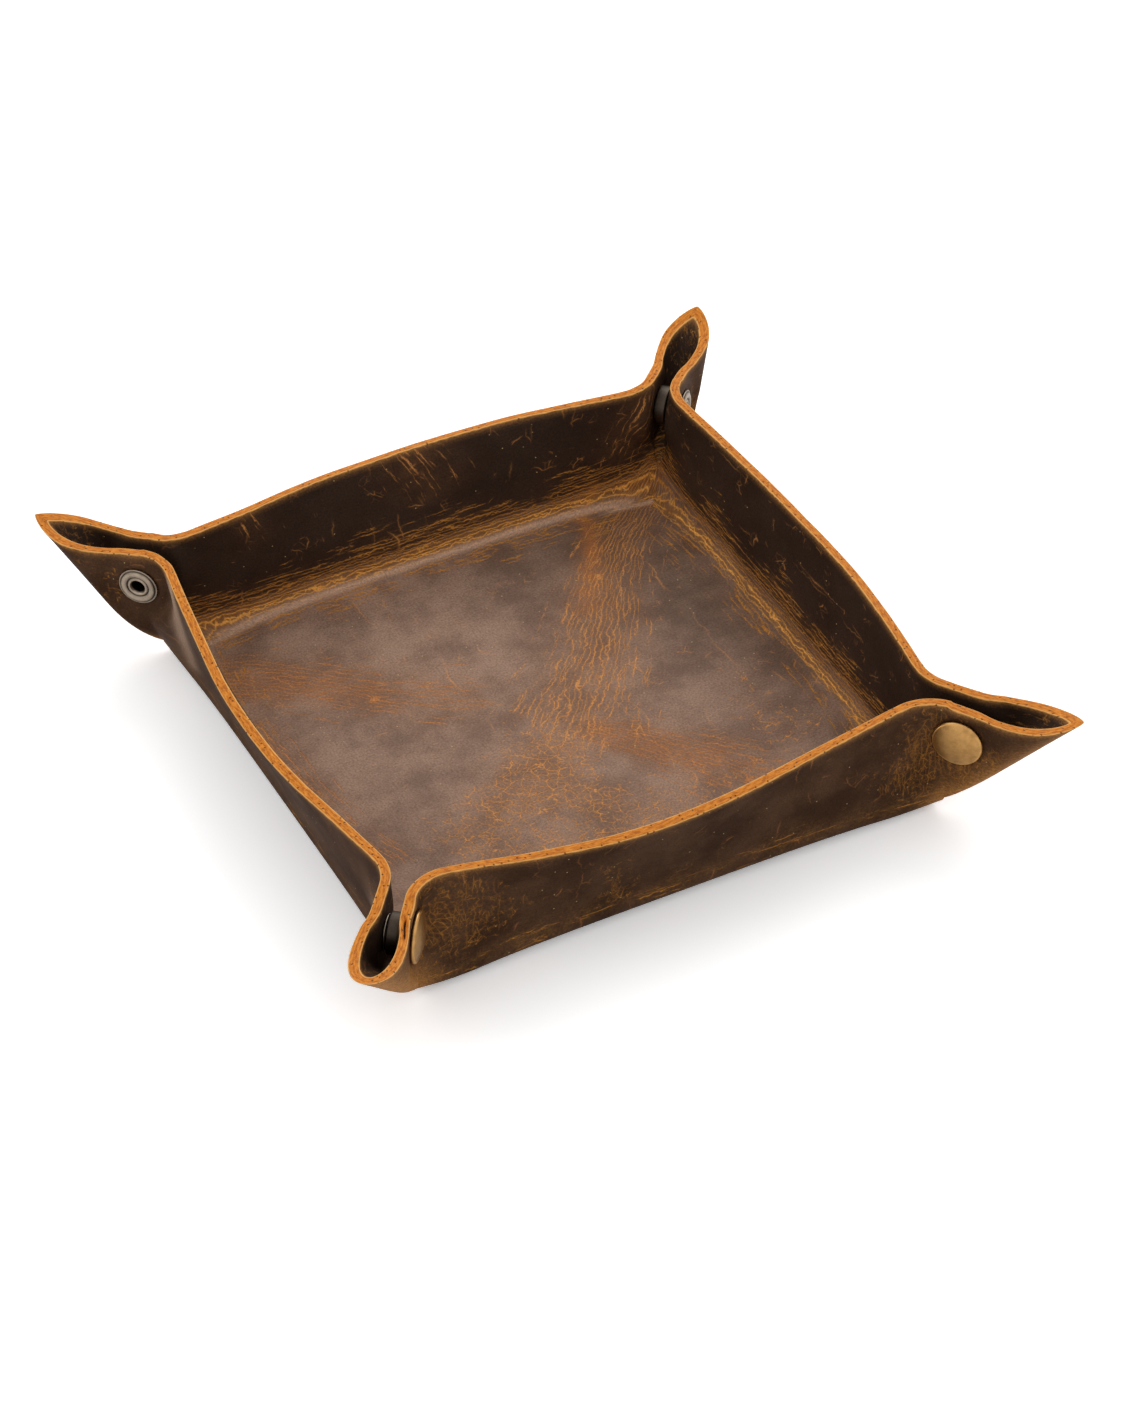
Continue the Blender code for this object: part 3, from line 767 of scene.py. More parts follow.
    def punch_holes(self) -> None:
        """Leave out the quads in the way of each stud, and round the hole's border."""
        base = self.steps.crease + 1
        for wall in range(4):
            outer, inner = self.runs[True, wall], self.runs[False, wall]
            centre = sum(cell_corners((self.points[outer] + self.points[inner]) / 2)) / 4
            half = len(outer) // 2
            gone = np.zeros(centre.shape[:2], bool)
            for ear, part in ((self.ears[wall], slice(0, half)),
                              (self.ears[(wall + 1) % 4], slice(half, None))):
                near = ear.reach(centre[part]) < self.sizes.hole_radius
                near[:, :base] = False
                gone[part] |= near
                border = self.border_points(gone)
                border &= np.isin(np.arange(len(outer)), np.arange(len(outer))[part])[:, None]
                for ids in (outer[border], inner[border]):
                    self.points[ids] = self.to_circle(ear, self.points[ids])
            self.holes.append(gone)

    def border_points(self, gone: Array) -> Array:
        """Return which grid points lie between quads that are gone and quads that stay."""
        around = np.stack(cell_corners(np.pad(gone, 1)))
        return around.any(0) & ~around.all(0)

    def to_circle(self, ear: Ear, points: Array) -> Array:
        """Move points square to the stud's axis until they lie on the hole's wall.

        Args:
            ear: The ear that the stud is in.
            points: The points.

        Returns:
            The moved points.
        """
        along = (points - ear.neck) @ ear.along - ear.stud_along
        height = points[:, 2] - self.sizes.stud_height
        grow = self.sizes.hole_radius / np.hypot(along, height) - 1
        return points + ear.along * (along * grow)[:, None] + UP * (height * grow)[:, None]

    def patches_of_run(self, wall: int, columns: slice) -> list[Patch]:
        """Make the patches of some of a run's columns.

        Args:
            wall: Number of the wall.
            columns: The columns, from one to another.

        Returns:
            The outer skin, the inner skin, the cut edge and the walls of the holes.
        """
        keep = ~self.holes[wall][columns.start:columns.stop - 1]
        run = self.rim_run[wall][columns] + wall
        depth = (1 - np.cos(np.linspace(0, math.pi, self.steps.edge + 1))) / 2
        rim = np.stack(np.broadcast_arrays(run[:, None], depth[None, :]), -1)
        return [Patch(self.runs[True, wall][columns], keep=keep),
                Patch(self.runs[False, wall][columns], flip=True, keep=keep),
                Patch(self.edges[wall][columns], finish=1, rim=rim),
                *self.hole_walls(wall, columns, ~keep)]

    def hole_walls(self, wall: int, columns: slice, gone: Array) -> list[Patch]:
        """Make a short patch for each side of the quads that are gone, from skin to skin.

        Args:
            wall: Number of the wall.
            columns: The columns, from one to another.
            gone: Which of their quads are gone.

        Returns:
            The patches.
        """
        outer, inner = (self.runs[side, wall][columns] for side in (True, False))
        walls = []
        padded = np.pad(gone, 1)
        for step, other in ((padded[1:, 1:-1] != padded[:-1, 1:-1], (0, 1)),
                            (padded[1:-1, 1:] != padded[1:-1, :-1], (1, 0))):
            for i, j in zip(*np.nonzero(step)):
                ends = [(i, j), (i + other[0], j + other[1])]
                flip = bool(padded[i + 1, j + 1]) == (other[0] == 0)
                pair = np.array([[outer[end], inner[end]] for end in ends])
                walls.append(Patch(pair, finish=1, flip=flip))
        return walls

    def smooth_normals(self) -> Array:
        """Work out each point's normal.

        Returns:
            The mean of the normals of each point's faces, by their area.
        """
        whole = slice(0, len(self.runs[True, 0]))
        total = np.zeros((self.count, 3))
        patches = [Patch(self.floors[True], flip=True), Patch(self.floors[False])]
        for wall in range(4):
            patches.extend(self.patches_of_run(wall, whole)[:3])
        for patch in patches:
            quads = patch.faces()[0]
            area = quad_areas(self.points[quads])
            for corner in range(4):
                np.add.at(total, quads[:, corner], area)
        length = np.linalg.norm(total, axis=1)
        length[length == 0] = 1
        return total / length[:, None]


@dataclass(frozen=True)
class EdgeSplit:
    """The short split in the cut edge beside the front ear's cap."""

    wall: int = 0
    start: float = 0.0180
    stop: float = 0.0262
    deepest: float = 0.0016
    middle: float = -0.05
    half_width: float = 0.22
    end_slope: float = 4.0

    def depth(self, run: Array, across: Array) -> Array:
        """Work out how deep the split is.

        Args:
            run: Places along the edge, from its start.
            across: Places across the edge, from -1 to 1.

        Returns:
            The depth by place along the edge and place across it.
        """
        share = (run - self.start) / (self.stop - self.start)
        long = ease(share * self.end_slope) * ease((1 - share) * self.end_slope)
        return self.deepest * long[:, None] * hump(across - self.middle, self.half_width)[None, :]


@dataclass(frozen=True)
class Stroke:
    """A band on the flat sheet, worn or of painted sheen, in millimetres: its route and its half width."""

    route: tuple[Pair, ...]
    reach: Pair
    strength: Pair = (1.0, 1.0)
    end_fade: float = 0.8

    def smooth_route(self, count: int = 48) -> Array:
        """Work out a smooth curve through the route, a Catmull-Rom spline.

        Args:
            count: How many points it has.

        Returns:
            The points along the curve.
        """
        knots = np.array(self.route, float)
        if len(knots) == 2:
            return knots[0] + (knots[1] - knots[0]) * np.linspace(0, 1, count)[:, None]
        knots = np.concatenate([[2 * knots[0] - knots[1]], knots, [2 * knots[-1] - knots[-2]]])
        t = np.linspace(0, len(self.route) - 1 - 1e-9, count)
        k = t.astype(int)
        s = (t - k)[:, None]
        a, b, c, d = (knots[k + j] for j in range(4))
        return 0.5 * (2 * b + (c - a) * s + (2 * a - 5 * b + 4 * c - d) * s ** 2
                      + (3 * b - a - 3 * c + d) * s ** 3)

    def follow(self, place: Array) -> Array:
        """Work out where places lie in the band.

        Args:
            place: Places on the flat sheet in millimetres.

        Returns:
            For each place the way along the band, the way across it, in units that widen
            with the band so that its strands fan out, and its strength.
        """
        route = self.smooth_route()
        way = np.diff(route, axis=0)
        length = np.linalg.norm(way, axis=1)
        run = np.concatenate([[0.0], np.cumsum(length)])
        result = np.zeros((len(place), 3))
        near = np.full(len(place), np.inf)
        for k, start in enumerate(route[:-1]):
            heading = way[k] / length[k]
            off = place - start
            along = np.clip(off @ heading, 0, length[k])
            distance = np.linalg.norm(off - along[:, None] * heading, axis=1)
            closer = distance < near
            near[closer] = distance[closer]
            share = (run[k] + along[closer]) / run[-1]
            side = np.sign(off[closer] @ np.array([-heading[1], heading[0]]))
            reach, strength = (low + (high - low) * share for low, high in (self.reach, self.strength))
            strength = strength * ease((1 - share) * run[-1] / reach / self.end_fade)
            result[closer] = np.stack([run[k] + along[closer],
                                       side * distance[closer] / reach * sum(self.reach) / 2,
                                       hump(distance[closer], reach) * strength], 1)
        return result


@dataclass
class LeatherWearAndPaintedLight:
    """Where the leather is crackled, lined, rubbed and reddened, and where shade, sheen and
    highlights are painted, for every point.

    The bands are laid out on the flat sheet, where the floor is from -70 to 70. Height
    is how far a place lies beyond the crease, so it is below zero on the floor. A field
    with four values has one for each wall or corner. A band is its half width and how
    far that wanders, and a fade is where it starts and where it ends.
    """

    sizes: SheetSizes
    flow: tuple[Stroke, ...] = (
        Stroke(((70, 72), (60, 63), (48, 52), (38, 40), (29, 27), (20, 14), (9, 1), (-4, -14)),
               (5, 17), (1.0, 0.75)),
        Stroke(((0, 103), (5, 92), (8, 80)), (9, 12), (0.50, 0.15)),
        Stroke(((66, 100), (61, 88), (57, 75)), (7, 9), (0.45, 0.40)),
        Stroke(((-46, 102), (-42, 88)), (4, 6), (0.35, 0.10)))
    side_flow: tuple[Stroke, ...] = (
        Stroke(((-68, 54), (-54, 45), (-40, 34), (-26, 23), (-6, 10)), (9, 11), (1.0, 0.45)),
        Stroke(((8, -8), (15, -16), (24, -26), (34, -38), (46, -52)), (6, 15), (0.9, 0.6)),
        Stroke(((-66, 30), (-63, -8), (-56, -36)), (6, 8), (0.8, 0.5)))
    network: tuple[Stroke, ...] = (
        Stroke(((-4, -12), (-16, -22), (-26, -32)), (11, 13)),
        Stroke(((-22, -22), (-46, -36)), (10, 11), (0.8, 0.6)),
        Stroke(((-8, -24), (0, -38), (12, -52)), (9, 11), (0.9, 0.5)),
        Stroke(((-34, -44), (-54, -56)), (9, 9), (0.6, 0.6)),
        Stroke(((-30, -40), (8, -46), (50, -58)), (17, 16), (0.6, 0.5)),
        Stroke(((50, -8), (48, -24), (58, -40)), (6, 9), (0.25, 0.5)))
    rust: tuple[Stroke, ...] = (
        Stroke(((51, 72), (43, 56), (34, 42), (26, 30)), (1.5, 4), (1.0, 0.35)),
        Stroke(((10, -10), (20, -24), (34, -36)), (4, 7), (0.28, 0.18)),
        Stroke(((-60, 46), (-30, 26)), (7, 6), (0.20, 0.12)))
    outer_network: tuple[Stroke, ...] = (
        Stroke(((-60, -100), (-56, -86), (-50, -72)), (9, 15), (0.65, 0.85)),
        Stroke(((-22, -92), (-19, -82), (-17, -71)), (3, 5), (0.4, 0.8)),
        Stroke(((66, -98), (62, -84), (54, -72)), (6, 14), (0.5, 0.9)),
        Stroke(((-98, 84), (-90, 74)), (4, 5), (0.25, 0.25)),
        Stroke(((-92, -58), (-84, -54)), (4, 6), (0.5, 0.3)),
        Stroke(((98, 20), (84, 14), (72, 8)), (4, 8), (0.3, 0.7)),
        Stroke(((30, 96), (24, 84), (20, 72)), (4, 7), (0.3, 0.7)))
    # Painted sheen: pale bands on the outer skin where the walls bend into the left and front ears.
    painted_sheen: tuple[Stroke, ...] = (
        Stroke(((-102, 56), (-86, 55), (-72, 49)), (3, 5), (0.9, 0.3)),
        Stroke(((-84, -58), (-78, -50)), (4, 4), (0.4, 0.1)))
    crease_lines: Numbers = (0.7, 0.9, 1.0, 0.7)
    outer_lines: Numbers = (0.30, 0.20, 0.30, 0.15)
    glow_place: Numbers = (-1.0, -2.8, -0.6, -1.0)
    glow_reach: Numbers = (1.8, 1.1, 1.9, 1.8)
    # The painted highlight along the crest of each inner crease: its share for each wall, and its half
    # width.
    crest_highlight_share: Numbers = (0.35, 0.0, 1.0, 0.35)
    crest_reach: float = 0.85
    ridge_reach: Numbers = (10.0, 7.0, 5.0, 2.5)
    snap_share: Numbers = (0.6, 0.9, 0.6, 0.15)
    snap_place: float = 9.0
    snap_reach: float = 4.5
    snap_fade: Pair = (-3.6, 2.4)
    wander_length: float = 26.0
    floor_band: Pair = (8.0, 1.5)
    wall_band: Pair = (8.5, 2.0)
    outer_band: Pair = (3.5, 1.0)
    dust_band: Pair = (4.0, 2.0)
    outer_height: float = 1.0
    net_fade: Pair = (-3.0, 2.0)
    tip_fade: Pair = (12.0, 24.0)
    tip_net: float = 0.5
    ridge_fade: Pair = (-12.0, 4.0)
    ridge_rub: float = 1.15
    rim_reach: float = 0.9
    rim_rub: float = 0.5
    # Painted shade: where the inner walls turn near black, from just above the crease up.
    painted_shade_fade: Pair = (-0.5, 3.5)
    # Painted shade on the inner floor, darker towards the back and right: its share, heading and fade.
    back_shade_share: float = 0.42
    back_shade_heading: Pair = (0.75, 0.45)
    back_shade_fade: Pair = (8.0, 58.0)

    def masks(self, sheet: FoldedSheet) -> dict[str, Array]:
        """Work out every mask.

        Args:
            sheet: The folded sheet.

        Returns:
            Each mask by its name, one value or vector for each point of the sheet.
        """
        place = sheet.flat * MILLIMETRES
        half, flap = self.sizes.half_floor * MILLIMETRES, self.sizes.flap * MILLIMETRES
        inner = ease(sheet.inside)
        outer = 1 - inner
        far = np.abs(place)
        height = far.max(1) - half
        beyond = far.min(1) - half
        corner = np.clip(beyond, 0, None)
        wall = sheet.wall_of(place)
        ear = np.where(place[:, 1] < 0, np.where(place[:, 0] < 0, 0, 1),
                       np.where(place[:, 0] < 0, 3, 2))
        wander = ripple(place, self.wander_length, 31)
        floor_reach, wall_reach, outer_reach, dust_reach = (
            reach + spread * wander for reach, spread in (
                self.floor_band, self.wall_band, self.outer_band, self.dust_band))
        inside, outside, crest_highlight_share, glow_place, glow_reach = (np.array(values)[wall] for values in (
            self.crease_lines, self.outer_lines, self.crest_highlight_share, self.glow_place, self.glow_reach))
        band = hump(height, np.where(height < 0, floor_reach, wall_reach))
        low = height - self.outer_height
        line = inside * band * inner + outside * hump(low, outer_reach) * outer
        # Painted highlight along the crest beside each inner crease.
        crest = hump(height - self.sizes.crest_place * MILLIMETRES, self.crest_reach) * crest_highlight_share
        network = self.most(self.network, place)[:, 2] * (1 - fade(height, *self.net_fade))
        tip = fade(corner, *self.tip_fade) * (1 - fade(height, flap - 1, flap + 1)) * self.tip_net
        outer_net = self.most(self.outer_network, place)[:, 2] * outer + tip * inner
        ridge = hump(far[:, 0] - far[:, 1], np.array(self.ridge_reach)[ear])
        ridge = ridge * fade(beyond, *self.ridge_fade) * outer
        rim = hump(height - flap, self.rim_reach)
        # Painted shade: the floor grows darker towards the back corner.
        back_shade = fade(place @ np.array(self.back_shade_heading), *self.back_shade_fade)
        masks = {"network": np.clip(network * inner, 0, 1),
                 "outer_net": np.clip(outer_net + self.round_snaps(sheet, inner), 0, 1),
                 # Painted sheen on the outer skin at the ears' neck bends.
                 "painted_sheen": self.most(self.painted_sheen, place)[:, 2] * outer,
                 "line_x": np.where(wall % 2 == 0, line, 0.0),
                 "line_y": np.where(wall % 2 == 1, line, 0.0),
                 "rust": self.most(self.rust, place)[:, 2] * inner,
                 # Painted highlight along the crest, kept off the ears.
                 "crest": crest * inner * (1 - fade(corner, 0, 2)),
                 "glow": hump(height - glow_place, glow_reach) * inner * (1 - fade(corner, 0, 3)) * inside,
                 "dust": outside * hump(low, dust_reach) * outer * 2,
                 "rub": np.clip(ridge * self.ridge_rub + rim * self.rim_rub, 0, 1),
                 # Painted shade on the inner skin: the walls from just above the crease, and the floor
                 # towards the back corner.
                 "painted_shade": inner * np.maximum(fade(height, *self.painted_shade_fade), self.back_shade_share * back_shade)}
        for name, strokes in (("flow", self.flow), ("side_flow", self.side_flow)):
            masks[name] = self.most(strokes, place)
            masks[name][:, 2] *= inner
        return masks

    def most(self, strokes: Sequence[Stroke], place: Array) -> Array:
        """Find the strongest band at each place.

        Args:
            strokes: The bands.
            place: Places on the flat sheet in millimetres.

        Returns:
            What the strongest band gives, three numbers for each place.
        """
        found = np.stack([stroke.follow(place) for stroke in strokes])
        best = np.argmax(found[:, :, 2], axis=0)
        return found[best, np.arange(len(place))]

    def round_snaps(self, sheet: FoldedSheet, inner: Array) -> Array:
        """Work out the crackle that each stud leaves in the leather pinched round it.

        Args:
            sheet: The folded sheet.
            inner: 1 for each of its points on the inner skin, 0 on the outer one.

        Returns:
            A ring round each stud, stronger below it, for each point of the sheet.
        """
        total = np.zeros(sheet.count)
        for ear, share in zip(sheet.ears, self.snap_share):
            near = np.linalg.norm(sheet.points - ear.stud, axis=1) * MILLIMETRES
            low = fade((ear.stud[2] - sheet.points[:, 2]) * MILLIMETRES, *self.snap_fade)
            ring = hump(near - self.snap_place, self.snap_reach)
            total += ring * (0.15 + 0.75 * low) * share * (1 - 0.7 * inner)
        return total


def split_quads(quads: Array) -> tuple[Array, Array, Array]:
    """Drop the repeated corners of quads that close up at a pole or a crease.

    Args:
        quads: Point numbers, four for each quad.

    Returns:
        A mask of the whole quads, the numbers of the quads that became triangles, and
        which three corners each of those keeps.
    """
    same = quads == np.roll(quads, -1, 1)
    count = same.sum(1)
    thin = np.nonzero(count == 1)[0]
    corners = (np.argmax(same[thin], 1)[:, None] + np.arange(1, 4)[None, :]) % 4
    return count == 0, thin, corners


def add_to_scene(name: str, data: bpy.types.ID) -> Piece:
    """Return a new object of the scene, which shows a mesh, a lamp or a camera."""
    item = bpy.data.objects.new(name, data)
    bpy.context.scene.collection.objects.link(item)
    return item


class Surface:
    """Points and quads that are gathered, and then written to one mesh."""

    def __init__(self, points: Array) -> None:
        """Start with the points that the quads will use."""
        self.points = points
        self.parts: list[tuple[Array, Array, Array]] = []

    def add(self, quads: Array, places: Array, finish: int = 0) -> None:
        """Add quads.

        Args:
            quads: Point numbers, four for each quad.
            places: The corners' places on the UV map.
            finish: Number of the quads' material.
        """
        quads = quads.reshape(-1, 4)
        self.parts.append((quads, places.reshape(-1, 4, 2), np.full(len(quads), finish, np.int32)))

    def gathered(self) -> list[Array]:
        """Return all the quads, their corners' places and their materials' numbers."""
        return [np.concatenate(values) for values in zip(*self.parts)]

    def open_sides(self) -> Array:
        """Find the sides that only one quad has.

        Returns:
            Pairs of point numbers, in the quad's own turn.
        """
        quads = self.gathered()[0]
        sides = np.stack([quads, np.roll(quads, -1, 1)], -1).reshape(-1, 2)
        sides = sides[sides[:, 0] != sides[:, 1]]
        scale = len(self.points)
        key, back = sides @ [scale, 1], sides @ [1, scale]
        keys, inverse = np.unique(np.concatenate([key, back]), return_inverse=True)
        balance = np.bincount(inverse, np.repeat([1.0, -1.0], len(key)))
        single = keys[balance > 0]
        return np.stack([single // scale, single % scale], 1)

    def build(self, name: str, masks: dict[str, Array], normals: Optional[Array] = None) -> Piece:
        """Write the mesh.

        Args:
            name: Name of the object.
            masks: Values for each point, which become attributes.
            normals: A normal for each point, or nothing to leave them to Blender.

        Returns:
            The object.
        """
        quads, places, finishes = self.gathered()
        whole, thin, corners = split_quads(quads)
        triangles = np.take_along_axis(quads[thin], corners, 1)
        used, loops = np.unique(np.concatenate([quads[whole].ravel(), triangles.ravel()]),
                                return_inverse=True)
        starts = np.concatenate([np.arange(whole.sum()) * 4,
                                 whole.sum() * 4 + np.arange(len(thin)) * 3])
        mesh = bpy.data.meshes.new(name)
        mesh.vertices.add(len(used))
        mesh.loops.add(len(loops))
        mesh.polygons.add(len(starts))
        mesh.vertices.foreach_set("co", self.points[used].astype(np.float32).ravel())
        mesh.loops.foreach_set("vertex_index", loops.astype(np.int32).ravel())
        mesh.polygons.foreach_set("loop_start", starts.astype(np.int32))
        mesh.polygons.foreach_set("material_index", np.concatenate([finishes[whole], finishes[thin]]))
        mesh.update(calc_edges=True)
        thin_places = np.take_along_axis(places[thin], corners[..., None], 1)
        flat = np.concatenate([places[whole].reshape(-1, 2), thin_places.reshape(-1, 2)])
        mesh.uv_layers.new(name="flat").data.foreach_set("uv", flat.astype(np.float32).ravel())
        for mask, values in masks.items():
            kind, key = ("FLOAT_VECTOR", "vector") if values.ndim > 1 else ("FLOAT", "value")
            attribute = mesh.attributes.new(mask, kind, "POINT")
            attribute.data.foreach_set(key, values[used].astype(np.float32).ravel())
        mesh.shade_smooth()
        if normals is not None:
            mesh.normals_split_custom_set_from_vertices(normals[used])
        return add_to_scene(name, mesh)


@dataclass
class LeatherTray:
    """The folded sheet as five pieces.

    The main piece is the floor, walls 0 and 2 and the four cap leaves. Each half of
    walls 1 and 3 is a piece with its stud leaf.
    """

    sizes: SheetSizes = field(default_factory=SheetSizes)
    steps: Fineness = field(default_factory=Fineness)
    ridge_fade: float = 0.005
    held_deg: float = 14.0
    free_deg: float = 56.0
    halves: tuple[tuple[int, bool], ...] = ((3, False), (1, True), (1, False), (3, True))

    def build(self) -> list[Piece]:
        """Make the pieces, and set the main piece on the tray's body.

        Returns:
            The main piece, and the wall half at each corner.
        """
        sheet = FoldedSheet(self.sizes, self.steps)
        masks = LeatherWearAndPaintedLight(self.sizes).masks(sheet)
        masks.update(inside=sheet.inside, split=sheet.split, bend_share=self.bend_shares(sheet))
        columns = len(sheet.runs[True, 0])
        first, last = slice(0, columns // 2 + 1), slice(columns // 2, columns)
        main = [Patch(sheet.floors[True], flip=True), Patch(sheet.floors[False])]
        for wall in (0, 2):
            main.extend(sheet.patches_of_run(wall, slice(0, columns)))
        pieces = [self.make_piece("leather_tray", sheet, main, masks)]
        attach(pieces[0], ROOT_BODY)
        for ear, (wall, begins) in zip(sheet.ears, self.halves):
            patches = sheet.patches_of_run(wall, first if begins else last)
            piece = self.make_piece(ear.name + "_wall_half", sheet, patches, masks)
            tuple(ear.tip)
            tuple(ear.stud)
            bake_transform(piece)
            shares = np.zeros(len(piece.data.vertices), np.float32)
            piece.data.attributes["bend_share"].data.foreach_get("value", shares)
            pieces.append(piece)
        for piece, (flat, area) in zip(pieces, self.flat_cuts()):
            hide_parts("leather_sheet")
        return pieces

    def flat_cuts(self) -> list[tuple[Pair, float]]:
        """Work out how each piece is cut before it is folded.

        Returns:
            Its width and length, and its area, where a wall half ends in half a square.
        """
        side, flap = self.sizes.sheet_side, self.sizes.flap
        half = side / 2 * flap - flap * flap / 2
        return [((side, side), side * side - 4 * half)] + [((side / 2, flap), half)] * 4

    def make_piece(self, name: str, sheet: FoldedSheet, patches: Sequence[Patch],
                   masks: dict[str, Array]) -> Piece:
        """Join patches into one closed object with both leather finishes.

        Where the piece meets its neighbour, a strip through the leather closes it, and a
        fan closes the small end of its cut edge.

        Args:
            name: Name of the piece.
            sheet: The folded sheet.
            patches: The patches of the piece.
            masks: The masks of the whole sheet.

        Returns:
            The object.
        """
        surface = Surface(sheet.points)
        for patch in patches:
            quads, rim = patch.faces()
            surface.add(quads, sheet.flat[quads] if patch.finish == 0 else rim, patch.finish)
        sides = surface.open_sides()
        start, stop = sides[(sheet.through[sides] >= 0).all(1)].T
        strip = np.stack([stop, start, sheet.through[start], sheet.through[stop]], 1)
        surface.add(strip, sheet.flat[strip], 1)
        start, stop = surface.open_sides().T
        tip = sheet.rim_point[start]
        fan = np.stack([stop, start, tip, tip], 1)[tip >= 0]
        surface.add(fan, sheet.flat[fan], 1)
        LOG.info("%s has %d open sides", name, len(surface.open_sides()))
        return surface.build(name, masks, sheet.normals)

    def bend_shares(self, sheet: FoldedSheet) -> Array:
        """Work out how much of its fold's turn each point follows.

        On the flat sheet, along is the way from the corner into the wall, and height
        the way up it. The share is 1 round the stud, and it eases to 0 at the ear's
        ridge and over a fan of the wall that opens from the corner.

        Args:
            sheet: The folded sheet.

        Returns:
            The share for each point.
        """
        far = np.abs(sheet.flat)
        height = far[:, 0] - self.sizes.half_floor
        along = self.sizes.half_floor - far[:, 1]
        ridge = fade((along + height) / math.sqrt(2), 0, self.ridge_fade)
        angle = np.degrees(np.arctan2(along, np.maximum(height, 0)))
        return np.where(height > 0, ridge * (1 - fade(angle, self.held_deg, self.free_deg)), 0.0)


class Turning:
    """A turned piece: a half outline of radius and height, carried round an axis.

    Each point of the outline is its radius, its height, how far it is rounded, and how
    bright it is worn.
    """

    def __init__(self, *points: tuple[float, float, float, float]) -> None:
        """Start the outline with some points."""
        self.outline = list(points)

    def to(self, *points: tuple[float, float, float, float]) -> "Turning":
        """Lead the outline on to more points."""
        self.outline.extend(points)
        return self

    def arc(self, centre: Pair, radius: float, turn_deg: Pair, steps: int, shine: float) -> "Turning":
        """Lead the outline along an arc.

        Args:
            centre: Radius and height of the arc's centre.
            radius: The arc's own radius.
            turn_deg: The angles that it starts and stops at.
            steps: How many parts it has.
            shine: How bright it is worn.

        Returns:
            The same turned piece.
        """
        return self.to(*((centre[0] + radius * math.cos(angle), centre[1] + radius * math.sin(angle),
                          0.0, shine) for angle in np.radians(np.linspace(*turn_deg, steps + 1))))

    def rounded(self, steps: int = 4) -> Array:
        """Round each corner of the outline, as a parabola between its sides.

        Args:
            steps: How many parts a rounded corner has.

        Returns:
            Radius, height and brightness of each point.
        """
        corners = np.array(self.outline)
        s = np.linspace(0, 1, steps + 1)[:, None]
        done = []
        for k, corner in enumerate(corners):
            if corner[2] <= 0:
                done.append(corner[None])
                continue
            ends = []
            for other in (corners[k - 1], corners[(k + 1) % len(corners)]):
                length = float(np.linalg.norm(other[:2] - corner[:2]))
                ends.append(corner + (other - corner) * min(corner[2] / length, 0.45))
            done.append((1 - s) ** 2 * ends[0] + 2 * s * (1 - s) * corner + s ** 2 * ends[1])
        return np.concatenate(done)[:, [0, 1, 3]]

    def build(self, name: str, ear: Ear, segments: int = 84) -> Piece:
        """Carry the outline round the stud's line, closing it where it meets the axis.

        A point at radius r, height h and angle a is the stud's place plus
        r (cos a along + sin a up) + h across.

        Args:
            name: Name of the piece.
            ear: The ear that the stud is in.
            segments: How many parts the turn has.

        Returns:
            The object.
        """
        radius, height, shine = self.rounded().T
        angle = np.linspace(0, 2 * math.pi, segments, endpoint=False)[:, None]
        local = np.stack(np.broadcast_arrays(radius * np.cos(angle), radius * np.sin(angle), height), -1)
        ids = np.arange(segments * len(radius)).reshape(segments, -1)
        poles = radius < 1e-9
        ids[:, poles] = ids[0, poles]
        ids = np.concatenate([ids, ids[:1]])
        if not (poles[0] and poles[-1]):
            ids = np.concatenate([ids, ids[:, :1]], 1)
        return solid_of_grid(name, stand_on_line(local.reshape(-1, 3), ear), ids,
                             np.tile(shine, segments))


def stand_on_line(local: Array, ear: Ear) -> Array:
    """Place points of a stud's own frame, whose third axis points to the cap."""
    axis = ear.across * ear.cap_side
    frame = np.stack([ear.along, np.cross(axis, ear.along), axis])
    return ear.stud + local @ frame


def solid_of_grid(name: str, points: Array, ids: Array, shine: Array) -> Piece:
    """Make a closed object of a grid of points, with its faces outwards.

    Args:
        name: Name of the object.
        points: The points.
        ids: The grid of their numbers, the same number where the grid closes up.
        shine: How bright each point is worn.

    Returns:
        The object.
    """
    quads = np.stack(cell_corners(ids), -1).reshape(-1, 4)
    corners = points[quads] - points.mean(0)
    if (quad_areas(corners) * corners.mean(1)).sum() < 0:
        quads = quads[:, ::-1]
    surface = Surface(points)
    surface.add(quads, np.zeros(quads.shape + (2,)))
    return surface.build(name, {"shine": shine})


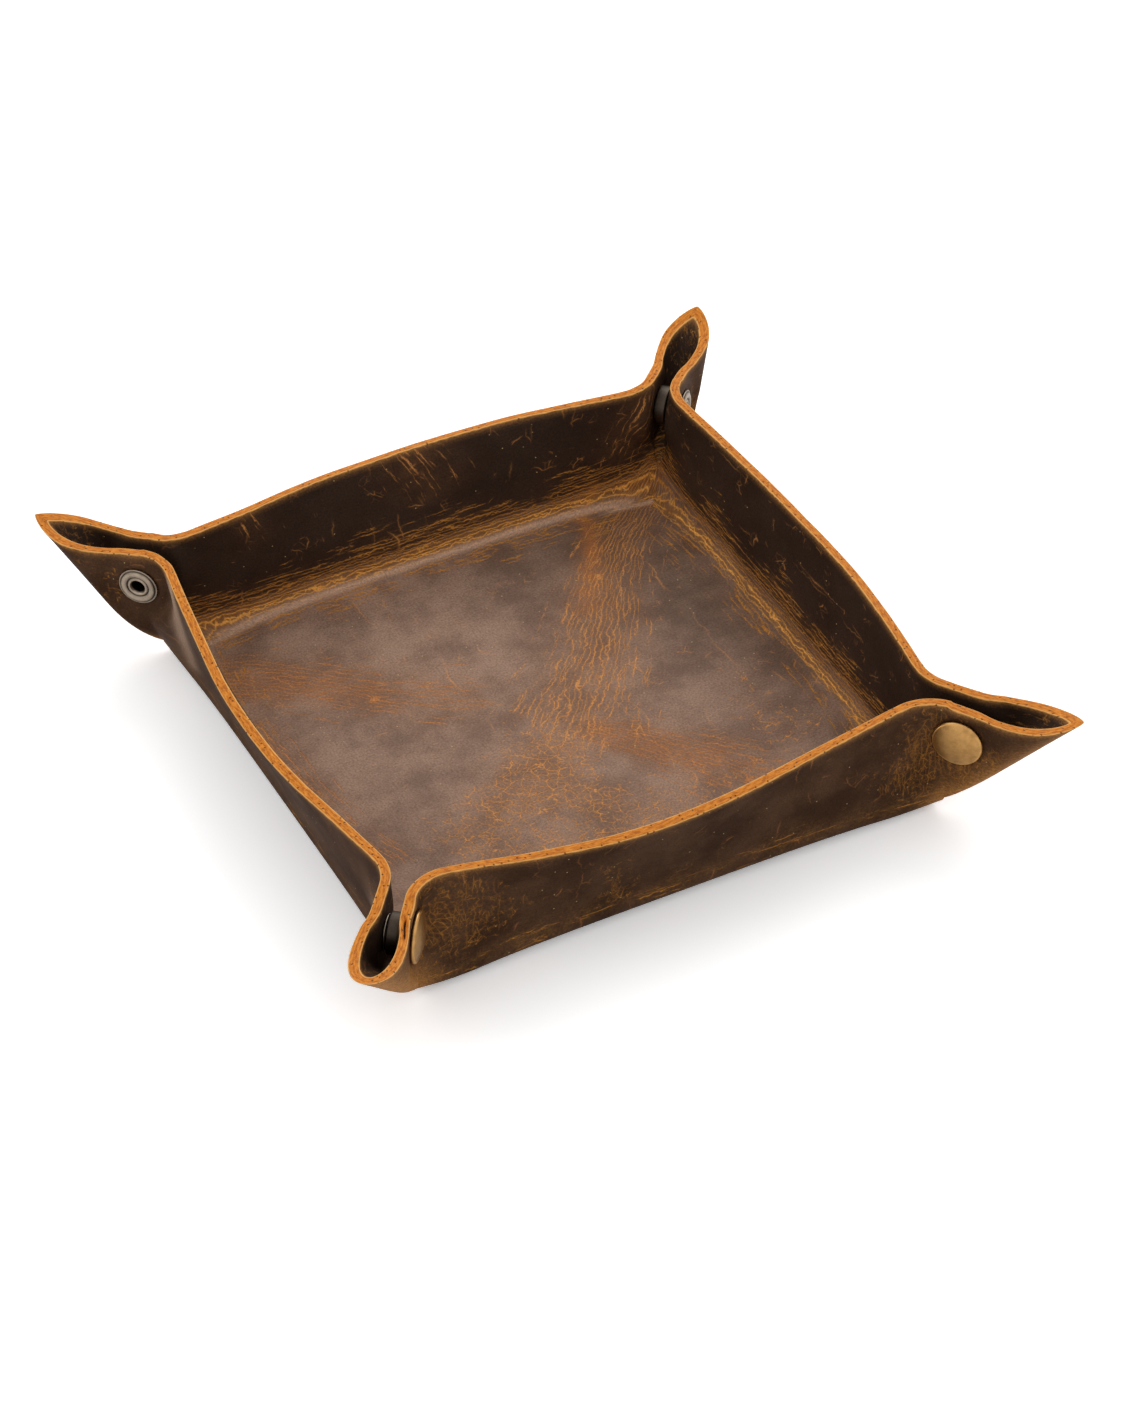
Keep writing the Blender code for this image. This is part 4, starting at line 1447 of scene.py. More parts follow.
@dataclass(frozen=True)
class PressStud:
    """A ring-spring press stud: cap and socket on one leaf, stud and eyelet on the other.

    Heights are from the middle of the gap between the leaves, towards the cap.
    """

    leaf_gap: float = SheetSizes.leaf_gap
    leather: float = SheetSizes.thickness
    seat: float = 0.0003
    metal: float = 0.0004
    post_radius: float = 0.0019
    post_bore: float = 0.0013
    post_flare: float = 0.0027
    socket_radius: float = 0.0050
    socket_mouth: float = 0.0036
    groove: float = 0.0040
    wire: float = 0.00044
    wire_clearance: float = 0.0003
    split_deg: float = 40.0
    flange: float = 0.0043
    stud_neck: float = 0.0029
    stud_head: float = 0.0033
    barrel: float = 0.00205
    barrel_bore: float = 0.00165
    soft: float = 0.00012

    @property
    def cap_seat(self) -> float:
        """Height of the cap's seat on the leather."""
        return self.leaf_gap / 2 + self.leather + self.seat

    @property
    def socket_back(self) -> float:
        """Height of the socket's back."""
        return self.leaf_gap / 2 - self.seat

    @property
    def plate_top(self) -> float:
        """Height of the top of the stud's flange."""
        return self.metal - self.socket_back

    @property
    def lip(self) -> float:
        """Height of the socket's mouth."""
        return self.plate_top + self.seat

    @property
    def flare_top(self) -> float:
        """Height of the top of the post's flare, inside the socket."""
        return self.socket_back - self.metal - self.seat

    @property
    def head_top(self) -> float:
        """Height of the top of the stud's head."""
        return self.flare_top - self.metal - self.seat

    @property
    def wire_height(self) -> float:
        """Height of the middle of the spring's wire."""
        return self.lip + self.metal + self.wire / 2

    def cap(self) -> Turning:
        """Draw the cap: a dome that runs on into a rolled edge, and a flared post.

        The dome's ball touches the roll of the edge from within, so its radius is
        (edge^2 + rise^2 - bead^2) / 2 (rise - bead), with the rise from the roll's middle.

        Returns:
            The turned piece.
        """
        bead, rise = CapShape.bead, CapShape.rise - CapShape.bead
        edge, low = CapShape.radius - bead, self.cap_seat + bead
        bulge = (edge ** 2 + rise ** 2 - bead ** 2) / (2 * (rise - bead))
        top = self.cap_seat + CapShape.rise
        meeting = 90.0 - math.degrees(math.atan2(edge, bulge - rise))
        soft, metal, post = self.soft, self.metal, self.post_radius
        shape = Turning((0.0, top, 0.0, 0.75))
        shape.arc((0.0, top - bulge), bulge, (89.0, meeting), 22, 0.7)
        shape.arc((edge, low), bead, (meeting, -90.0), 12, 0.7)
        return shape.to((edge - bead, low, 0.0, 0.1), (post + metal, top - metal * 2, soft, 0.1),
            (post, low, 0.0, 0.1), (post, self.flare_top, soft, 0.4),
            (self.post_flare, self.flare_top - metal / 2, soft, 0.8),
            (self.post_flare - metal / 2, self.flare_top - metal, soft, 0.8),
            (self.post_bore, self.flare_top - metal, soft, 0.4),
            (self.post_bore, self.cap_seat, soft, 0.1), (0.0, self.cap_seat, 0.0, 0.1))

    def socket(self) -> Turning:
        """Draw the socket: a rolled ring on a plate, with the spring's groove inside.

        Returns:
            The turned piece.
        """
        soft, metal, lip, mouth = self.soft, self.metal, self.lip, self.socket_mouth
        outside, hole = self.socket_radius - metal, self.post_radius + self.seat
        groove_top = self.wire_height + self.wire + self.seat
        inside = self.socket_back - metal
        shape = Turning().arc((outside, inside), metal, (90, 0), 8, 0.08)
        shape.arc((outside, lip + metal), metal, (0, -90), 8, 0.14)
        return shape.to((mouth, lip, soft, 0.2), (mouth, lip + metal / 2, soft, 0.2),
            (self.groove, lip + metal * 2 / 3, soft, 0.1), (self.groove, groove_top, soft, 0.1),
            (mouth, groove_top + self.seat, soft, 0.2), (mouth, inside, soft, 0.1),
            (hole, inside, 0.0, 0.2), (hole, self.socket_back, 0.0, 0.2))

    def stud(self) -> Turning:
        """Draw the stud: a flange, and a hollow boss with a rounded head and a neck.

        Returns:
            The turned piece.
        """
        soft, metal, plate = self.soft, self.metal, self.plate_top
        bore, head, top = self.barrel + self.seat, self.wire_height + self.wire, self.head_top
        return Turning(
            (bore, -self.socket_back, 0.0, 0.2), (self.flange, -self.socket_back, soft * 2, 0.7),
            (self.flange, plate, soft * 2, 0.8), (self.stud_head, plate, soft, 0.2),
            (self.stud_neck, plate + self.seat, soft, 0.2),
            (self.stud_neck, self.wire_height + self.wire / 4, soft, 0.3),
            (self.stud_head, head, soft, 0.9),
            (self.stud_head - metal / 2, head + metal / 2, soft, 0.9),
            (self.stud_head - metal, top, soft, 0.8), (bore + metal, top, soft, 0.6),
            (bore, top - metal, soft, 0.2))

    def eyelet(self) -> Turning:
        """Draw the eyelet: a washer, a ring with a collar inside it, and a flared barrel.

        Returns:
            The turned piece.
        """
        soft, metal, barrel = self.soft, self.metal, self.barrel
        seat, outer, mouth = -self.cap_seat, EyeletShape.radius, EyeletShape.mouth
        ring, quarter = (outer + mouth) / 2, (outer - mouth) / 4
        crest, washer = seat - EyeletShape.rise, seat - metal
        flare = self.head_top - self.seat
        return Turning((barrel, seat, 0.0, 0.1), (outer, seat, soft, 0.7), (outer, washer, soft, 0.85),
            (ring + quarter * 1.35, washer, soft, 0.0), (ring + quarter, crest + metal / 3, soft * 2, 0.6),
            (ring + quarter / 3, crest, soft * 3, 1.0),
            (ring - quarter * 0.6, crest + metal / 3, soft * 2, 0.5), (ring - quarter, washer, soft, 0.0),
            (mouth + metal, crest + metal / 2, soft, 0.8), (mouth, crest + metal / 2, soft, 0.9),
            (self.barrel_bore, seat, soft, 0.0), (self.barrel_bore, flare, soft, 0.2),
            (barrel + self.seat / 2, flare, soft, 0.8), (barrel, flare - metal / 2, soft, 0.4))

    def spring(self, name: str, ear: Ear, steps: int = 72, sides: int = 12) -> Piece:
        """Make the spring, a wire bent to a split ring: a circle carried round an arc.

        Args:
            name: Name of the piece.
            ear: The ear that the stud is in.
            steps: How many parts the ring has.
            sides: How many sides the wire has.

        Returns:
            The object.
        """
        ring = self.stud_neck + self.wire_clearance + self.wire / 2
        split = math.radians(self.split_deg)
        turn = split / 2 + (2 * math.pi - split) * np.linspace(0, 1, steps + 1)
        turn = np.concatenate([turn[:1], turn, turn[-1:]])[:, None]
        thick = np.full(turn.shape, self.wire / 2)
        thick[[0, -1]] = 0.0
        side = np.linspace(0, 2 * math.pi, sides, endpoint=False)
        out = ring + thick * np.cos(side)
        local = np.stack([out * np.cos(turn), out * np.sin(turn),
                          self.wire_height + thick * np.sin(side)], -1)
        ids = np.arange(out.size).reshape(out.shape)
        ids[0], ids[-1] = ids[0, 0], ids[-1, 0]
        ids = np.concatenate([ids, ids[:, :1]], 1)
        return solid_of_grid(name, stand_on_line(local.reshape(-1, 3), ear), ids, np.full(out.size, 0.6))

    def build(self, ear: Ear) -> dict[str, Piece]:
        """Make one stud's five pieces in place of the solid model's, and set them riding.

        Args:
            ear: The ear that the stud is in.

        Returns:
            The pieces by what they are.
        """
        turned = {"cap": self.cap(), "socket": self.socket(), "stud": self.stud(),
                  "eyelet": self.eyelet()}
        pieces = {}
        for part in ("cap", "socket", "spring", "stud", "eyelet"):
            node = f"{ear.name}_{part}"
            piece = turned[part].build(node + "_turned", ear) if part in turned else (
                self.spring(node + "_wire", ear))
            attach(piece, ear.name + "_stud_leaf" if part in ("stud", "eyelet") else ROOT_BODY)
            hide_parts(node)
            pieces[part] = piece
        return pieces


class Tree:
    """A short way to add shader nodes and to join them."""

    def __init__(self, tree: bpy.types.NodeTree) -> None:
        """Work on one node tree."""
        self.tree = tree

    def feed(self, target: Socket, feed: Feed) -> None:
        """Join a socket to an input, or set the input to a number or a vector.

        Args:
            target: The input.
            feed: What it gets.
        """
        if isinstance(feed, Socket):
            self.tree.links.new(feed, target)
        else:
            target.default_value = feed

    def join(self, node: Node, feeds: dict[Union[str, int], Feed]) -> None:
        """Feed some of a node's inputs, by their names or numbers."""
        for key, feed in feeds.items():
            self.feed(node.inputs[key], feed)

    def add(self, kind: str, feeds: dict[Union[str, int], Feed], **settings: object) -> Node:
        """Add a node.

        Args:
            kind: The node's type.
            feeds: What each of its inputs gets, by the input's name or number.
            **settings: The node's own settings.

        Returns:
            The node.
        """
        node = self.tree.nodes.new(kind)
        for key, value in settings.items():
            setattr(node, key, value)
        self.join(node, feeds)
        return node

    def math(self, operation: str, *feeds: Feed, clamp: bool = False) -> Socket:
        """Return one number worked out from others."""
        return self.add("ShaderNodeMath", dict(enumerate(feeds)), operation=operation,
                        use_clamp=clamp).outputs[0]

    def times(self, *feeds: Feed) -> Socket:
        """Return the product of some numbers."""
        return reduce(partial(self.math, "MULTIPLY"), feeds)

    def most(self, *feeds: Feed) -> Socket:
        """Return the largest of some numbers."""
        return reduce(partial(self.math, "MAXIMUM"), feeds)

    def scaled(self, value: Feed, factor: Feed, more: Feed) -> Socket:
        """Return a number times a factor, and some more."""
        return self.math("MULTIPLY_ADD", value, factor, more)

    def rest(self, value: Feed) -> Socket:
        """Return what a share leaves of 1."""
        return self.math("SUBTRACT", 1.0, value)

    def vector(self, operation: str, *feeds: Feed) -> Socket:
        """Return one vector worked out from others, or scaled by a number."""
        last = 3 if operation == "SCALE" else 1
        return self.add("ShaderNodeVectorMath", dict(zip((0, last), feeds)),
                        operation=operation).outputs[0]

    def combine(self, x: Feed, y: Feed, z: Feed = 0.0) -> Socket:
        """Return a vector made of three numbers."""
        return self.add("ShaderNodeCombineXYZ", {0: x, 1: y, 2: z}).outputs[0]

    def separate(self, place: Feed) -> Sequence[Socket]:
        """Return a vector's three numbers."""
        return self.add("ShaderNodeSeparateXYZ", {0: place}).outputs

    def noise(self, place: Feed, size: float, detail: float = 2.0, roughness: float = 0.55) -> Socket:
        """Return soft noise from 0 to 1, with features of a size in the place's units."""
        return self.add("ShaderNodeTexNoise", {"Vector": place, "Scale": 1.0 / size, "Detail": detail,
                                               "Roughness": roughness}).outputs[0]

    def step(self, value: Feed, low: Feed, high: Feed) -> Socket:
        """Return 0 below low and 1 above high, eased between them."""
        return self.add("ShaderNodeMapRange", {"Value": value, "From Min": low, "From Max": high},
                        interpolation_type="SMOOTHSTEP").outputs[0]

    def mix(self, share: Feed, low: Feed, high: Feed) -> Socket:
        """Return a colour between two others."""
        ends = [end if isinstance(end, Socket) else (*end, 1.0) for end in (low, high)]
        return self.add("ShaderNodeMix", {0: share, 6: ends[0], 7: ends[1]}, data_type="RGBA").outputs[2]

    def attribute(self, name: str, output: str = "Fac") -> Socket:
        """Return a mask that the mesh carries, as a number or as a vector."""
        return self.add("ShaderNodeAttribute", {}, attribute_name=name).outputs[output]

    def dots(self, place: Feed, rate: float, kept: Pair, size: Pair) -> Socket:
        """Scatter small round dots.

        Args:
            place: The places that they lie in.
            rate: How many places for a dot there are along a unit.
            kept: From which random number on a dot is there, as a soft step.
            size: Where a dot fades out, in shares of a dot's place.

        Returns:
            1 on a dot and 0 beside it.
        """
        cells = self.add("ShaderNodeTexVoronoi", {"Vector": place, "Scale": rate},
                         voronoi_dimensions="2D").outputs
        there = self.step(self.separate(cells["Color"])[0], *kept)
        return self.times(there, self.rest(self.step(cells["Distance"], *size)))

    def bump(self, height: Feed, distance: float) -> Socket:
        """Return the normal of a surface with a height in units of a distance."""
        return self.add("ShaderNodeBump", {"Height": height, "Distance": distance,
                                           "Strength": 1.0}).outputs[0]


class Group:
    """An effect that materials share, as a node group with named inputs and one output."""

    def __init__(self, name: str, numbers: dict[str, float], output: str) -> None:
        """Make the group and its sockets.

        Args:
            name: Name of the group.
            numbers: The inputs that follow the vector Place, with their usual values.
            output: Name of the number that it puts out.
        """
        self.tree = bpy.data.node_groups.new(name, "ShaderNodeTree")
        new_socket = self.tree.interface.new_socket
        new_socket(name="Place", in_out="INPUT", socket_type="NodeSocketVector")
        for key, usual in numbers.items():
            made = new_socket(name=key, in_out="INPUT", socket_type="NodeSocketFloat")
            made.default_value = usual
        new_socket(name=output, in_out="OUTPUT", socket_type="NodeSocketFloat")
        self.work = Tree(self.tree)
        self.given = self.tree.nodes.new("NodeGroupInput").outputs
        self.result = self.tree.nodes.new("NodeGroupOutput").inputs

    def put_out(self, feed: Socket) -> "Group":
        """Join a number to the group's output, and return the group."""
        self.work.feed(self.result[0], feed)
        return self

    def use(self, tree: Tree, place: Feed, *numbers: Feed) -> Socket:
        """Place the group in a material, with its numbers in turn, and return its output."""
        return tree.add("ShaderNodeGroup", dict(enumerate((place, *numbers))),
                        node_tree=self.tree).outputs[0]


def thin_out(work: Tree, place: Feed, amount: Feed) -> Socket:
    """Add where veins are there: everywhere at an amount of 1, nowhere at 0.

    Args:
        work: The tree in which the effect is built.
        place: Places in spacings of the veins.
        amount: The share of the veins that stays.

    Returns:
        1 where they are there.
    """
    patchy = work.noise(place, 1.0, 2.0)
    low = work.scaled(amount, -0.40, 0.64)
    there = work.step(patchy, low, work.math("ADD", low, 0.12))
    return work.times(there, work.step(amount, 0.02, 0.14))


def haloed(work: Tree, distance: Feed, width: Feed, solid: float) -> Socket:
    """Add a vein's strength, as a soft core in a faint halo.

    Args:
        work: The tree in which the effect is built.
        distance: How far a place is from the middle of the vein.
        width: Half the width of the core.
        solid: The share of the core that is at full strength.

    Returns:
        1 in the middle, 0.2 just beyond the core and 0 at 3.2 widths.
    """
    core = work.step(distance, work.times(width, solid), width)
    halo = work.step(distance, 0.0, work.times(width, 3.2))
    return work.rest(work.scaled(halo, 0.28, work.times(core, 0.72)))


def strand_group() -> Group:
    """Make the effect of wavy strands that run side by side and join now and then.

    They run along the first axis of Place. A strand lies where the way across, pushed
    about by noise that is drawn out along it, is a whole number of spacings. Wave is
    the length of the noise's waves and Wander how far it pushes, both in spacings, and
    Amount says how much of the strands is there.

    Returns:
        The group.
    """
    group = Group("strands", {"Spacing": 1.5, "Wave": 4.0, "Width": 0.3, "Wander": 2.0,
                              "Amount": 1.0}, "Veins")
    work, given = group.work, group.given
    spacing = given["Spacing"]
    place = work.vector("DIVIDE", given["Place"], work.combine(spacing, spacing, 1.0))
    along, across, _ = work.separate(place)
    way = work.times(along, spacing)
    along = work.math("DIVIDE", along, given["Wave"])
    lines = []
    for layer, rate in enumerate((1.0, 0.57)):
        waves = work.noise(work.combine(along, work.times(across, 0.28), 7.3 * layer), 1.0, 1.0)
        crinkle = work.noise(work.combine(work.times(way, 0.62), work.times(across, 0.4),
                                          2.9 + layer), 1.0, 1.0)
        push = work.times(work.math("SUBTRACT", waves, 0.5), given["Wander"])
        push = work.scaled(work.math("SUBTRACT", crinkle, 0.5), work.math("DIVIDE", 0.9, spacing), push)
        phase = work.math("PINGPONG", work.scaled(across, rate, push), 0.5)
        distance = work.times(phase, work.math("DIVIDE", spacing, rate))
        swell = work.noise(work.combine(work.times(along, 0.9), across, 3.1 + layer), 1.0, 1.0)
        width = work.times(given["Width"], work.scaled(swell, 2.0, 0.0))
        line = haloed(work, distance, width, 0.3)
        lines.append(work.times(line, work.scaled(swell, 0.9, 0.45)))
    there = thin_out(work, work.combine(work.times(along, 0.6), work.times(across, 0.7), 5.0),
                     given["Amount"])
    return group.put_out(work.math("MULTIPLY", work.most(*lines), there, clamp=True))


def crackle_group() -> Group:
    """Make the effect of a net of fine veins, the borders of cells with wavy sides.

    Cell is the cells' size and Width the width of a vein, in the units of Place. Amount
    says how much of the net is there, and Fine how strong a finer net within it is.

    Returns:
        The group.
    """
    group = Group("crackle", {"Cell": 2.0, "Width": 0.3, "Amount": 1.0, "Fine": 0.5}, "Veins")
    work, given = group.work, group.given
    cell = given["Cell"]
    place = work.vector("DIVIDE", given["Place"], work.combine(cell, cell, 1.0))
    pushed = place
    for scale, reach in ((0.5, 1.6), (1.6, 0.42)):
        waves = work.add("ShaderNodeTexNoise", {"Vector": place, "Scale": scale, "Detail": 1.0})
        push = work.vector("SUBTRACT", waves.outputs["Color"], (0.5, 0.5, 0.5))
        pushed = work.vector("ADD", pushed, work.vector("SCALE", push, reach))
    veins = []
    for scale, weight in ((1.0, 1.0), (1.9, given["Fine"])):
        cells = work.add("ShaderNodeTexVoronoi", {"Vector": pushed, "Scale": scale},
                         feature="DISTANCE_TO_EDGE", voronoi_dimensions="2D")
        distance = work.times(cells.outputs["Distance"], work.math("DIVIDE", cell, scale))
        veins.append(work.times(haloed(work, distance, given["Width"], 0.2), weight))
    there = thin_out(work, work.vector("SCALE", place, 0.8), given["Amount"])
    return group.put_out(work.math("MULTIPLY", work.most(*veins), there, clamp=True))


def mottle_group() -> Group:
    """Make the effect of soft blotches with finer specks among them, from 0 to 1.

    Returns:
        The group.
    """
    group = Group("mottle", {"Size": 3.0, "Contrast": 0.2}, "Blotches")
    work, given = group.work, group.given
    size, contrast = given["Size"], given["Contrast"]
    soft = work.noise(work.vector("DIVIDE", given["Place"], work.combine(size, size, size)), 1.0, 4.0, 0.6)
    return group.put_out(work.step(soft, work.math("SUBTRACT", 0.5, contrast),
                                   work.math("ADD", 0.5, contrast)))


@dataclass(frozen=True)
class Layer:
    """A colour that is laid over others, and its share.

    The share grows by spread where a pattern goes from 0 to 1.
    """

    colour: Colour
    share: float
    spread: float = 0.0

    def cover(self, tree: Tree, where: Feed, pattern: Optional[Feed] = None) -> Socket:
        """Return how much the layer covers where a mask is, by a pattern if there is one."""
        share = self.share if pattern is None else tree.scaled(pattern, self.spread, self.share)
        return tree.times(where, share)

    def lay(self, tree: Tree, under: Feed, where: Feed, pattern: Optional[Feed] = None) -> Socket:
        """Return the colours under it with the layer laid over them."""
        return tree.mix(self.cover(tree, where, pattern), under, self.colour)


@dataclass(frozen=True)
class Net:
    """A net of veins: the size of its cells, of its veins, and its finer net's strength."""

    cell: float
    width: float
    fine: float

    def lay(self, crackle: Group, tree: Tree, place: Feed, amount: Feed) -> Socket:
        """Return where the net's veins are, at an amount of it."""
        return crackle.use(tree, place, self.cell, self.width, amount, self.fine)


@dataclass(frozen=True)
class OiledLeather:
    """Waxed pull-up leather: dark brown, golden where it has been bent or rubbed.

    A run of strands is its spacing, wave, width and wander, and blotches are their size
    and contrast.
    """

    # The inner skin's colours are far lighter than the outer skin's: partly the leather's own tone, partly
    # painted sheen on the floor.
    dark: Colour = (0.205, 0.124, 0.087)
    brown: Colour = (0.340, 0.212, 0.148)
    outer: Colour = (0.046, 0.020, 0.009)
    outer_brown: Colour = (0.092, 0.045, 0.023)
    olive: Colour = (0.235, 0.115, 0.034)
    pale: Colour = (0.520, 0.360, 0.170)
    gold: Colour = (1.0, 0.455, 0.095)
    # Near black laid over the inner skin as painted shade.
    painted_shade: Layer = Layer((0.0155, 0.0072, 0.0040), 0.92)
    warm: Layer = Layer((0.225, 0.098, 0.040), 0.30, 0.40)
    rust: Layer = Layer((0.480, 0.160, 0.036), 0.40, 0.50)
    # A pale colour laid on the outer skin as painted sheen at the ears' neck bends.
    painted_sheen: Layer = Layer((0.640, 0.430, 0.300), 0.70, 0.20)
    glow: Layer = Layer((0.290, 0.115, 0.024), 0.45, 0.40)
    tan: Layer = Layer((0.660, 0.300, 0.090), 0.50, 0.40)
    ginger: Layer = Layer((0.520, 0.205, 0.070), 0.90)
    amber: Layer = Layer((0.720, 0.300, 0.085), 0.55, 0.35)
    ochre: Layer = Layer((0.520, 0.215, 0.042), 0.18, 0.40)
    # A pale colour laid along the crest of the inner crease as painted highlight.
    crest: Layer = Layer((0.600, 0.380, 0.260), 0.75, 0.20)
    gold_share: float = 0.95
    stray_share: float = 0.6
    creased_share: float = 0.35
    netted_share: float = 0.8
    crease_run: Numbers = (1.15, 6.0, 0.17, 2.2)
    flow_run: Numbers = (1.3, 6.0, 0.145, 2.3)
    side_run: Numbers = (1.3, 6.0, 0.15, 2.3)
    ear_run: Numbers = (1.4, 4.0, 0.18, 2.3)
    stray_run: Numbers = (8.0, 1.8, 0.22, 0.9)
    floor_net: Net = Net(2.5, 0.14, 0.20)
    wide_net: Net = Net(4.6, 0.17, 0.0)
    ear_net: Net = Net(1.8, 0.17, 0.3)
    stray_net: Net = Net(5.5, 0.16, 0.3)
    wide_amount: float = 0.6
    ear_net_amount: float = 0.8
    ear_run_amount: float = 0.75
    stray_net_amount: float = 0.15
    stray_run_amount: float = 0.17
    blotches: tuple[Pair, ...] = ((17.0, 0.16), (4.5, 0.22), (1.1, 0.24))
    inside_shift: tuple[float, float, float] = (317.0, 173.0, 0.0)
    roughness: float = 0.36
    outer_roughness: float = 0.14
    grain_size: float = 0.55
    relief: float = 0.00010
    specular: float = 0.055

    def make(self, crackle: Group, strands: Group, mottle: Group) -> Material:
        """Make the finish of the two skins, from their places on the flat sheet.

        Args:
            crackle: The shared effect of a net of veins.
            strands: The shared effect of veins that run side by side.
            mottle: The shared effect of blotches.

        Returns:
            The material.
        """
        material, tree, shader = new_finish("oiled_leather", self.specular)
        flat = tree.add("ShaderNodeUVMap", {}, uv_map="flat").outputs[0]
        inside = tree.attribute("inside")
        place = tree.vector("ADD", tree.vector("SCALE", flat, MILLIMETRES),
                            tree.vector("SCALE", self.inside_shift, inside))
        x, y, _ = tree.separate(place)
        mask = {name: tree.attribute(name) for name in (
            "network", "outer_net", "line_x", "line_y", "glow", "crest", "rust", "rub", "painted_shade",
            "dust", "painted_sheen")}
        banded, side_banded = (tree.attribute(name, "Vector") for name in ("flow", "side_flow"))
        flow, side_flow = tree.separate(banded)[2], tree.separate(side_banded)[2]
        creased = tree.most(mask["line_x"], mask["line_y"])
        upright = tree.combine(y, x)
        gold = tree.most(strands.use(tree, place, *self.crease_run, mask["line_x"]),
                         strands.use(tree, upright, *self.crease_run, mask["line_y"]))
        amber = tree.most(strands.use(tree, banded, *self.flow_run, flow),
                          self.floor_net.lay(crackle, tree, place, mask["network"]),
                          self.wide_net.lay(crackle, tree, place,
                                            tree.times(mask["network"], self.wide_amount)))
        ginger = strands.use(tree, side_banded, *self.side_run, side_flow)
        crackled = tree.most(self.ear_net.lay(crackle, tree, place,
                                              tree.times(mask["outer_net"], self.ear_net_amount)),
                             strands.use(tree, upright, *self.ear_run,
                                         tree.times(mask["outer_net"], self.ear_run_amount)))
        stray = tree.most(self.stray_net.lay(crackle, tree, place, self.stray_net_amount),
                          strands.use(tree, upright, *self.stray_run, self.stray_run_amount))
        blotch, cloud, speck = (mottle.use(tree, place, *numbers) for numbers in self.blotches)
        # The inner skin takes the lighter colours, which carry painted sheen, and the outer skin the
        # darker ones.
        colour = tree.mix(tree.rest(inside), tree.mix(blotch, self.dark, self.brown),
                          tree.mix(blotch, self.outer, self.outer_brown))
        # Painted shade on the inner walls and towards the back of the floor.
        colour = self.painted_shade.lay(tree, colour, mask["painted_shade"])
        bent = tree.most(flow, tree.times(creased, self.creased_share),
                         tree.times(mask["network"], self.netted_share), side_flow)
        # Among these layers is painted sheen on the outer skin at the ears' neck bends.
        for layer, where, pattern in ((self.warm, bent, cloud), (self.rust, mask["rust"], cloud),
                                      (self.painted_sheen, mask["painted_sheen"], cloud),
                                      (self.glow, mask["glow"], cloud), (self.tan, mask["rub"], speck)):
            colour = layer.lay(tree, colour, where, pattern)
        colour = tree.mix(tree.times(mask["dust"], speck, cloud), colour, self.olive)
        colour = self.ginger.lay(tree, colour, ginger)
        veined = tree.mix(inside, self.ginger.colour, self.amber.colour)
        veins = tree.most(amber, tree.times(stray, self.stray_share))
        colour = tree.mix(self.amber.cover(tree, veins, cloud), colour, veined)
        colour = self.ochre.lay(tree, colour, crackled, cloud)
        gilded = tree.mix(mask["glow"], self.ochre.colour, self.gold)
        colour = tree.mix(tree.times(gold, self.gold_share), colour, gilded)
        # Painted highlight along the crease's crest.
        colour = self.crest.lay(tree, colour, mask["crest"], speck)
        colour = tree.mix(tree.dots(place, 0.35, (0.93, 0.95), (0.03, 0.08)), colour, self.pale)
        grain = tree.noise(place, self.grain_size, 3.0, 0.6)
        colour = tree.vector("SCALE", colour, tree.scaled(grain, 1.4, 0.30))
        lines = tree.most(gold, amber, ginger, crackled)
        height = tree.math("SUBTRACT", tree.times(grain, 0.45), lines)
        rough = tree.scaled(tree.rest(inside), self.outer_roughness,
                            tree.scaled(grain, 0.16, self.roughness))
        tree.join(shader, {"Base Color": colour, "Roughness": tree.scaled(lines, 0.18, rough),
                           "Normal": tree.bump(height, self.relief)})
        return material


